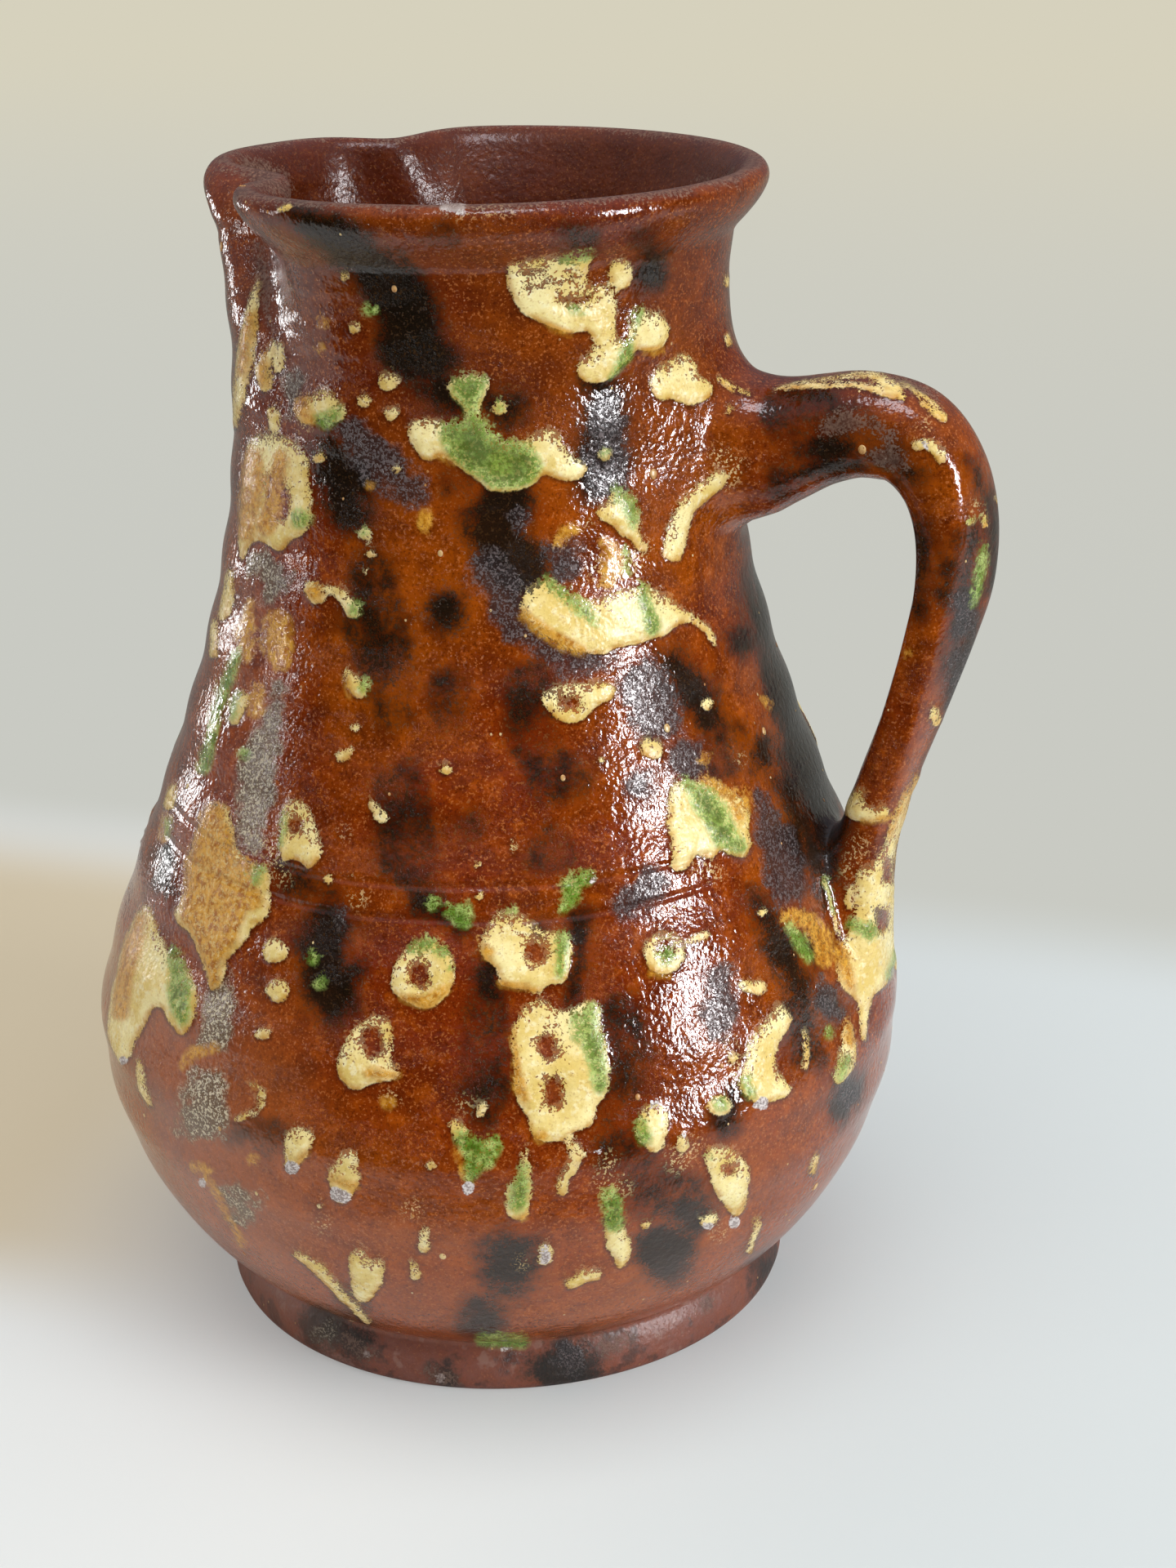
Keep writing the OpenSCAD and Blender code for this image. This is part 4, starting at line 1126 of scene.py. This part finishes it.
def glaze_material():
    """Red-brown lead glaze with stains, granular slip, cream, ochre and green splashes."""
    mat, m = new_material("splashed_glaze")
    n = glaze_fields(m)
    colour = ground_colour(m, n)
    for coat in (stain_shade_and_sheen_coat, cream_coat, ochre_coat, green_coat, worn_and_highlight_coat):
        colour = coat(m, n, colour)
    rough = m.weighed((m.layer("inside"), 0.16), (n.grey, 0.10), (n.grit, 0.10), (n.cream, 0.17),
                      (n.white, 0.45), (n.wear, 0.3), (n.foot, 0.34))
    finish_material(m, m.add("ShaderNodeBsdfPrincipled", {
        "Base Color": colour, "Roughness": m.sum(0.105, rough, m.swing(n.grain, 0.08)), "IOR": 1.5,
        "Specular IOR Level": m.sum(0.5, m.times(n.cream, -0.24)), "Normal": glaze_skin(m, n)}))
    return mat


def bare_clay_material():
    """Unglazed red earthenware of the foot ring, scuffed where it stands."""
    mat, m = new_material("bare_clay")
    where = m.add("ShaderNodeTexCoord").outputs["Object"]
    grain = m.noise(where, 900, 3, 0.6, 7.0)
    broad = m.noise(where, 60, 3, 0.5, 8.0)
    colour = m.blend(m.step(broad, 0.4, 0.6), "#8A4A34", "#A5624A")
    colour = m.coats(colour, (m.step(grain, 0.55, 0.7), 0.6, "#C79A82"))
    bumped = m.add("ShaderNodeBump", {"Height": grain, "Distance": 0.0003, "Strength": 0.8})
    shader = m.add("ShaderNodeBsdfPrincipled", {"Base Color": colour, "Roughness": 0.85, "IOR": 1.45,
                                                "Normal": bumped.outputs["Normal"]})
    finish_material(m, shader)
    return mat


# Relief and spatter trees

# Sizes in metres.
RELIEF_SIZES = {"Slip height": 0.0006, "Second coat": 0.0002, "Tip height": 0.0003}
SPATTER_SIZES = {"Drops per square metre": 2600.0, "Smallest": 0.0002, "Largest": 0.0009, "Seed": 4}


def tree_with(name, sizes):
    """A Geometry Nodes tree with a mesh in, a mesh out and named sizes."""
    tree = bpy.data.node_groups.new(name, "GeometryNodeTree")
    face = tree.interface
    face.new_socket("Geometry", in_out="INPUT", socket_type="NodeSocketGeometry")
    for label, value in sizes.items():
        kind = "NodeSocketInt" if isinstance(value, int) else "NodeSocketFloat"
        face.new_socket(label, in_out="INPUT", socket_type=kind).default_value = value
    face.new_socket("Geometry", in_out="OUTPUT", socket_type="NodeSocketGeometry")
    m = Maker(tree)
    return tree, m, m.add("NodeGroupInput").outputs, m.add("NodeGroupOutput").inputs[0]


def named(m, name):
    node = m.add("GeometryNodeInputNamedAttribute", {"Name": name}, data_type="FLOAT")
    return node.outputs["Attribute"]


def relief_tree(glaze, clay):
    """Raises the slip above the glaze along the surface, and hands out the two finishes."""
    tree, m, start, end = tree_with("slip_relief", RELIEF_SIZES)
    cream = m.times(m.step(named(m, "cream"), -0.5, 1.3), m.less(m.times(named(m, "upper"), 0.55)))
    height = m.weighed(
        (cream, start["Slip height"]), (m.step(named(m, "ochre"), -0.5, 1.5), start["Second coat"]),
        (m.step(named(m, "green"), -0.5, 1.5), start["Second coat"]),
        (m.step(named(m, "white"), -0.5, 1.0), start["Tip height"]))
    outwards = m.add("GeometryNodeInputNormal").outputs[0]
    push = m.add("ShaderNodeVectorMath", {0: outwards, "Scale": height}, operation="SCALE").outputs[0]
    moved = m.add("GeometryNodeSetPosition", {"Geometry": start["Geometry"], "Offset": push}).outputs[0]
    real = m.add("GeometryNodeRealizeInstances", {"Geometry": moved}).outputs[0]
    glazed = m.add("GeometryNodeSetMaterial", {"Geometry": real, "Material": glaze}).outputs[0]
    under = m.math("GREATER_THAN", named(m, "underside"), 0.5)
    bare = m.add("GeometryNodeSetMaterial", {"Geometry": glazed, "Selection": under, "Material": clay})
    m.put(end, bare.outputs[0])
    return tree


def spatter_tree(finish):
    """Small flat drops of slip flicked over the outside."""
    tree, m, start, end = tree_with("slip_spatter", SPATTER_SIZES)
    free = start["Drops per square metre"]
    for name, limit in (("cream", -1.0), ("inside", 0.3), ("underside", 0.5)):
        free = m.times(m.math("LESS_THAN", named(m, name), limit), free)
    spots = m.add("GeometryNodeDistributePointsOnFaces", {"Mesh": start["Geometry"], "Density": free,
                                                          "Seed": start["Seed"]}).outputs
    drop = m.add("GeometryNodeMeshIcoSphere", {"Radius": 1.0, "Subdivisions": 2}).outputs["Mesh"]
    draw = m.add("FunctionNodeRandomValue", {2: 0.0, 3: 1.0, "Seed": start["Seed"]}, data_type="FLOAT")
    span = m.math("SUBTRACT", start["Largest"], start["Smallest"])
    width = m.sum(m.times(m.math("POWER", draw.outputs[1], 7.0), span), start["Smallest"])
    flat = m.add("ShaderNodeCombineXYZ", {"X": width, "Y": m.times(width, 1.25), "Z": m.times(width, 0.28)})
    laid = m.add("GeometryNodeInstanceOnPoints", {"Points": spots["Points"], "Instance": drop,
                                                 "Rotation": spots["Rotation"], "Scale": flat.outputs[0]})
    real = m.add("GeometryNodeRealizeInstances", {"Geometry": laid.outputs[0]}).outputs[0]
    m.put(end, m.add("GeometryNodeSetMaterial", {"Geometry": real, "Material": finish}).outputs[0])
    return tree


def spatter_material():
    """Slip of the flicked drops, from ochre to cream."""
    mat, m = new_material("flicked_slip")
    where = m.add("ShaderNodeTexCoord").outputs["Object"]
    tone = m.noise(where, 90, 2, 0.5, 9.0)
    fine = m.noise(where, 1800, 2, 0.5, 10.0)
    colour = m.blend(m.step(tone, 0.4, 0.6), "#B87C3A", "#DDC288")
    colour = m.blend(m.step(fine, 0.55, 0.65), colour, "#9A6A38")
    shader = m.add("ShaderNodeBsdfPrincipled", {"Base Color": colour, "Roughness": 0.3, "IOR": 1.5})
    finish_material(m, shader)
    return mat


def run_tree(obj, tree, sizes):
    """Runs a tree on the object with its sizes set, and keeps the result as a plain mesh."""
    modifier = obj.modifiers.new(tree.name, "NODES")
    modifier.node_group = tree
    for item in tree.interface.items_tree:
        if item.in_out == "INPUT" and item.name in sizes:
            modifier[item.identifier] = sizes[item.name]
    mesh = applied(obj)
    mesh.polygons.foreach_set("use_smooth", [True] * len(mesh.polygons))
    return obj


def make_jug(glaze, clay):
    jug = luted(body_mesh(), handle_mesh())
    jug.name = "jug_fired"
    lay_slip(jug.data)
    return run_tree(jug, relief_tree(glaze, clay), RELIEF_SIZES)


def make_spatter(jug):
    spatter = new_object("slip_flecks", jug.data.copy())
    return run_tree(spatter, spatter_tree(spatter_material()), SPATTER_SIZES)


# Room

def make_camera():
    data = bpy.data.cameras.new("camera")
    data.sensor_width = 36
    data.lens = FOCAL * data.sensor_width / (2 * MIDDLE[1])
    camera = new_object("camera", data)
    axes = Matrix([list(row) for row in np.stack((ACROSS, UPWARD, -AHEAD), axis=1)]).to_4x4()
    camera.matrix_world = Matrix.Translation(Vector(EYE * MM)) @ axes
    bpy.context.scene.camera = camera


def make_floor():
    """Pale table; past its far edge the blurred wall behind, which shows at its written tone."""
    mesh = bpy.data.meshes.new("table")
    mesh.from_pydata([(-4, -4, 0), (4, -4, 0), (4, 4, 0), (-4, 4, 0)], [], [(0, 1, 2, 3)])
    table = new_object("table", mesh)
    mat, m = new_material("table_top")
    where = m.add("ShaderNodeTexCoord").outputs["Object"]
    x, y, _ = m.add("ShaderNodeSeparateXYZ", {0: where}).outputs
    path = m.add("ShaderNodeLightPath").outputs
    # its colours: cool white, a little darker towards the right as painted shade, a warm painted shadow in a
    # patch behind on the left, and a painted dark reflection, nearly black to the glaze ahead of it
    near = m.blend(m.step(m.along(x, y, PHOTO_RIGHT), -0.05, 0.08), "#F2F5F4", "#E1E8E9")
    # painted shadow: the jug's soft, warm-lit shadow on the table to its left and behind
    warm_painted_shadow = m.times(m.times(m.step(x, -0.03, -0.12), m.step(x, -0.42, -0.24)),
                   m.times(m.step(y, -0.065, -0.025), m.step(y, 0.19, 0.13)))
    near = m.blend(warm_painted_shadow, near, "#E0D2B6")
    # painted dark reflection: in glossy rays the table ahead of the jug turns nearly black and loses its own
    # sheen
    painted_dark_reflection = m.times(m.step(m.along(x, y, TO_CAMERA), 0.09, 0.19), path["Is Glossy Ray"])
    near = m.blend(painted_dark_reflection, near, "#100D0B")
    shader = m.add("ShaderNodeBsdfPrincipled", {"Base Color": near, "Roughness": 0.6, "IOR": 1.4,
                                                "Specular IOR Level": m.sum(0.5, m.times(painted_dark_reflection, -0.5))})
    # painted light: for the camera about a third of the table's tone glows, lifting the shadows on it
    painted_glow = m.add("ShaderNodeEmission", {"Color": near, "Strength": 0.80})
    lit = m.add("ShaderNodeMixShader", {0: m.times(path["Is Camera Ray"], 0.35), 1: shader.outputs[0],
                                        2: painted_glow.outputs[0]})
    # the wall behind
    wall = m.add("ShaderNodeEmission", {"Color": m.blend(m.step(y, 0.3, 2.4), "#C9CAC3", "#D6D1BD"),
                                        "Strength": m.sum(1.0, m.times(path["Is Glossy Ray"], -0.55))})
    seen = m.math("MAXIMUM", path["Is Camera Ray"], path["Is Glossy Ray"])
    behind = m.times(m.step(y, 0.145, 0.205), seen)
    finish_material(m, m.add("ShaderNodeMixShader", {0: behind, 1: lit.outputs[0], 2: wall.outputs[0]}))
    mesh.materials.append(mat)


def soft_box(name, bearing, height, distance, wide, tall, power, colour, glossy=True, diffuse=True):
    """A flat lamp that faces the jug; bearing in degrees from the handle side."""
    data = bpy.data.lights.new(name, "AREA")
    data.shape = "RECTANGLE"
    data.size, data.size_y = wide, tall
    data.energy = power
    data.color = colour
    lamp = new_object(name, data)
    b, e = math.radians(bearing), math.radians(height)
    way = Vector((math.cos(b) * math.cos(e), math.sin(b) * math.cos(e), math.sin(e)))
    lamp.location = Vector((0, 0, LAMP_AIM)) + way * distance
    lamp.rotation_euler = way.to_track_quat("Z", "Y").to_euler()
    lamp.visible_glossy = glossy
    lamp.visible_diffuse = diffuse
    lamp.visible_camera = False


def make_light():
    """Grey room with a dark side ahead, soft light from above and from the window, and their glints."""
    world = bpy.data.worlds.new("room")
    bpy.context.scene.world = world
    world.use_nodes = True
    world.node_tree.nodes.clear()
    m = Maker(world.node_tree)
    x, y, z = m.add("ShaderNodeSeparateXYZ", {0: m.add("ShaderNodeTexCoord").outputs["Generated"]}).outputs
    ahead = m.step(m.along(x, y, TO_CAMERA), -0.5, 0.45)
    beside = m.step(m.along(x, y, PAST_HANDLE), 0.50, 0.85)
    leftward = m.step(m.along(x, y, PHOTO_RIGHT), -0.2, -0.7)
    room = m.blend(beside, m.blend(leftward, "#6A686E", "#8E8A8C"), "#242326")
    room = m.blend(ahead, room, "#0C0A09")
    room = m.blend(m.step(z, 0.15, 0.9), room, "#A8ACB8")
    path = m.add("ShaderNodeLightPath").outputs
    plain = m.blend(path["Is Camera Ray"], "#A8A8A8", "#D2CFC0")
    tone = m.blend(path["Is Glossy Ray"], plain, room)
    back = m.add("ShaderNodeBackground", {"Color": tone, "Strength": 1.0})
    m.put(m.add("ShaderNodeOutputWorld").inputs["Surface"], back.outputs[0])
    soft_box("ceiling", -60, 76, 1.6, 1.4, 1.2, 16.0, (1.0, 0.98, 0.95), glossy=False)
    soft_box("window", -14, 22, 1.3, 0.6, 0.5, 8.5, (0.93, 0.96, 1.0), glossy=False)
    soft_box("window_glint", -14, 9, 1.3, 0.15, 0.50, 18.0, (0.94, 0.93, 0.95), diffuse=False)
    soft_box("left_glint", 163, 0, 1.4, 0.13, 0.30, 2.5, (1.0, 1.0, 1.0), diffuse=False)
    soft_box("side_glint", 200, 7, 1.4, 0.08, 0.26, 1.6, (1.0, 0.96, 0.94), diffuse=False)
    soft_box("sky_glint", -60, 66, 1.5, 0.7, 0.35, 7.0, (0.92, 0.92, 1.0), diffuse=False)


# The scene

bpy.context.scene.view_settings.view_transform = "Standard"
make_camera()
make_light()
make_floor()
jug = make_jug(glaze_material(), bare_clay_material())
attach(jug, "root")
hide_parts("jug")
spatter = make_spatter(jug)
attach(spatter, "root")
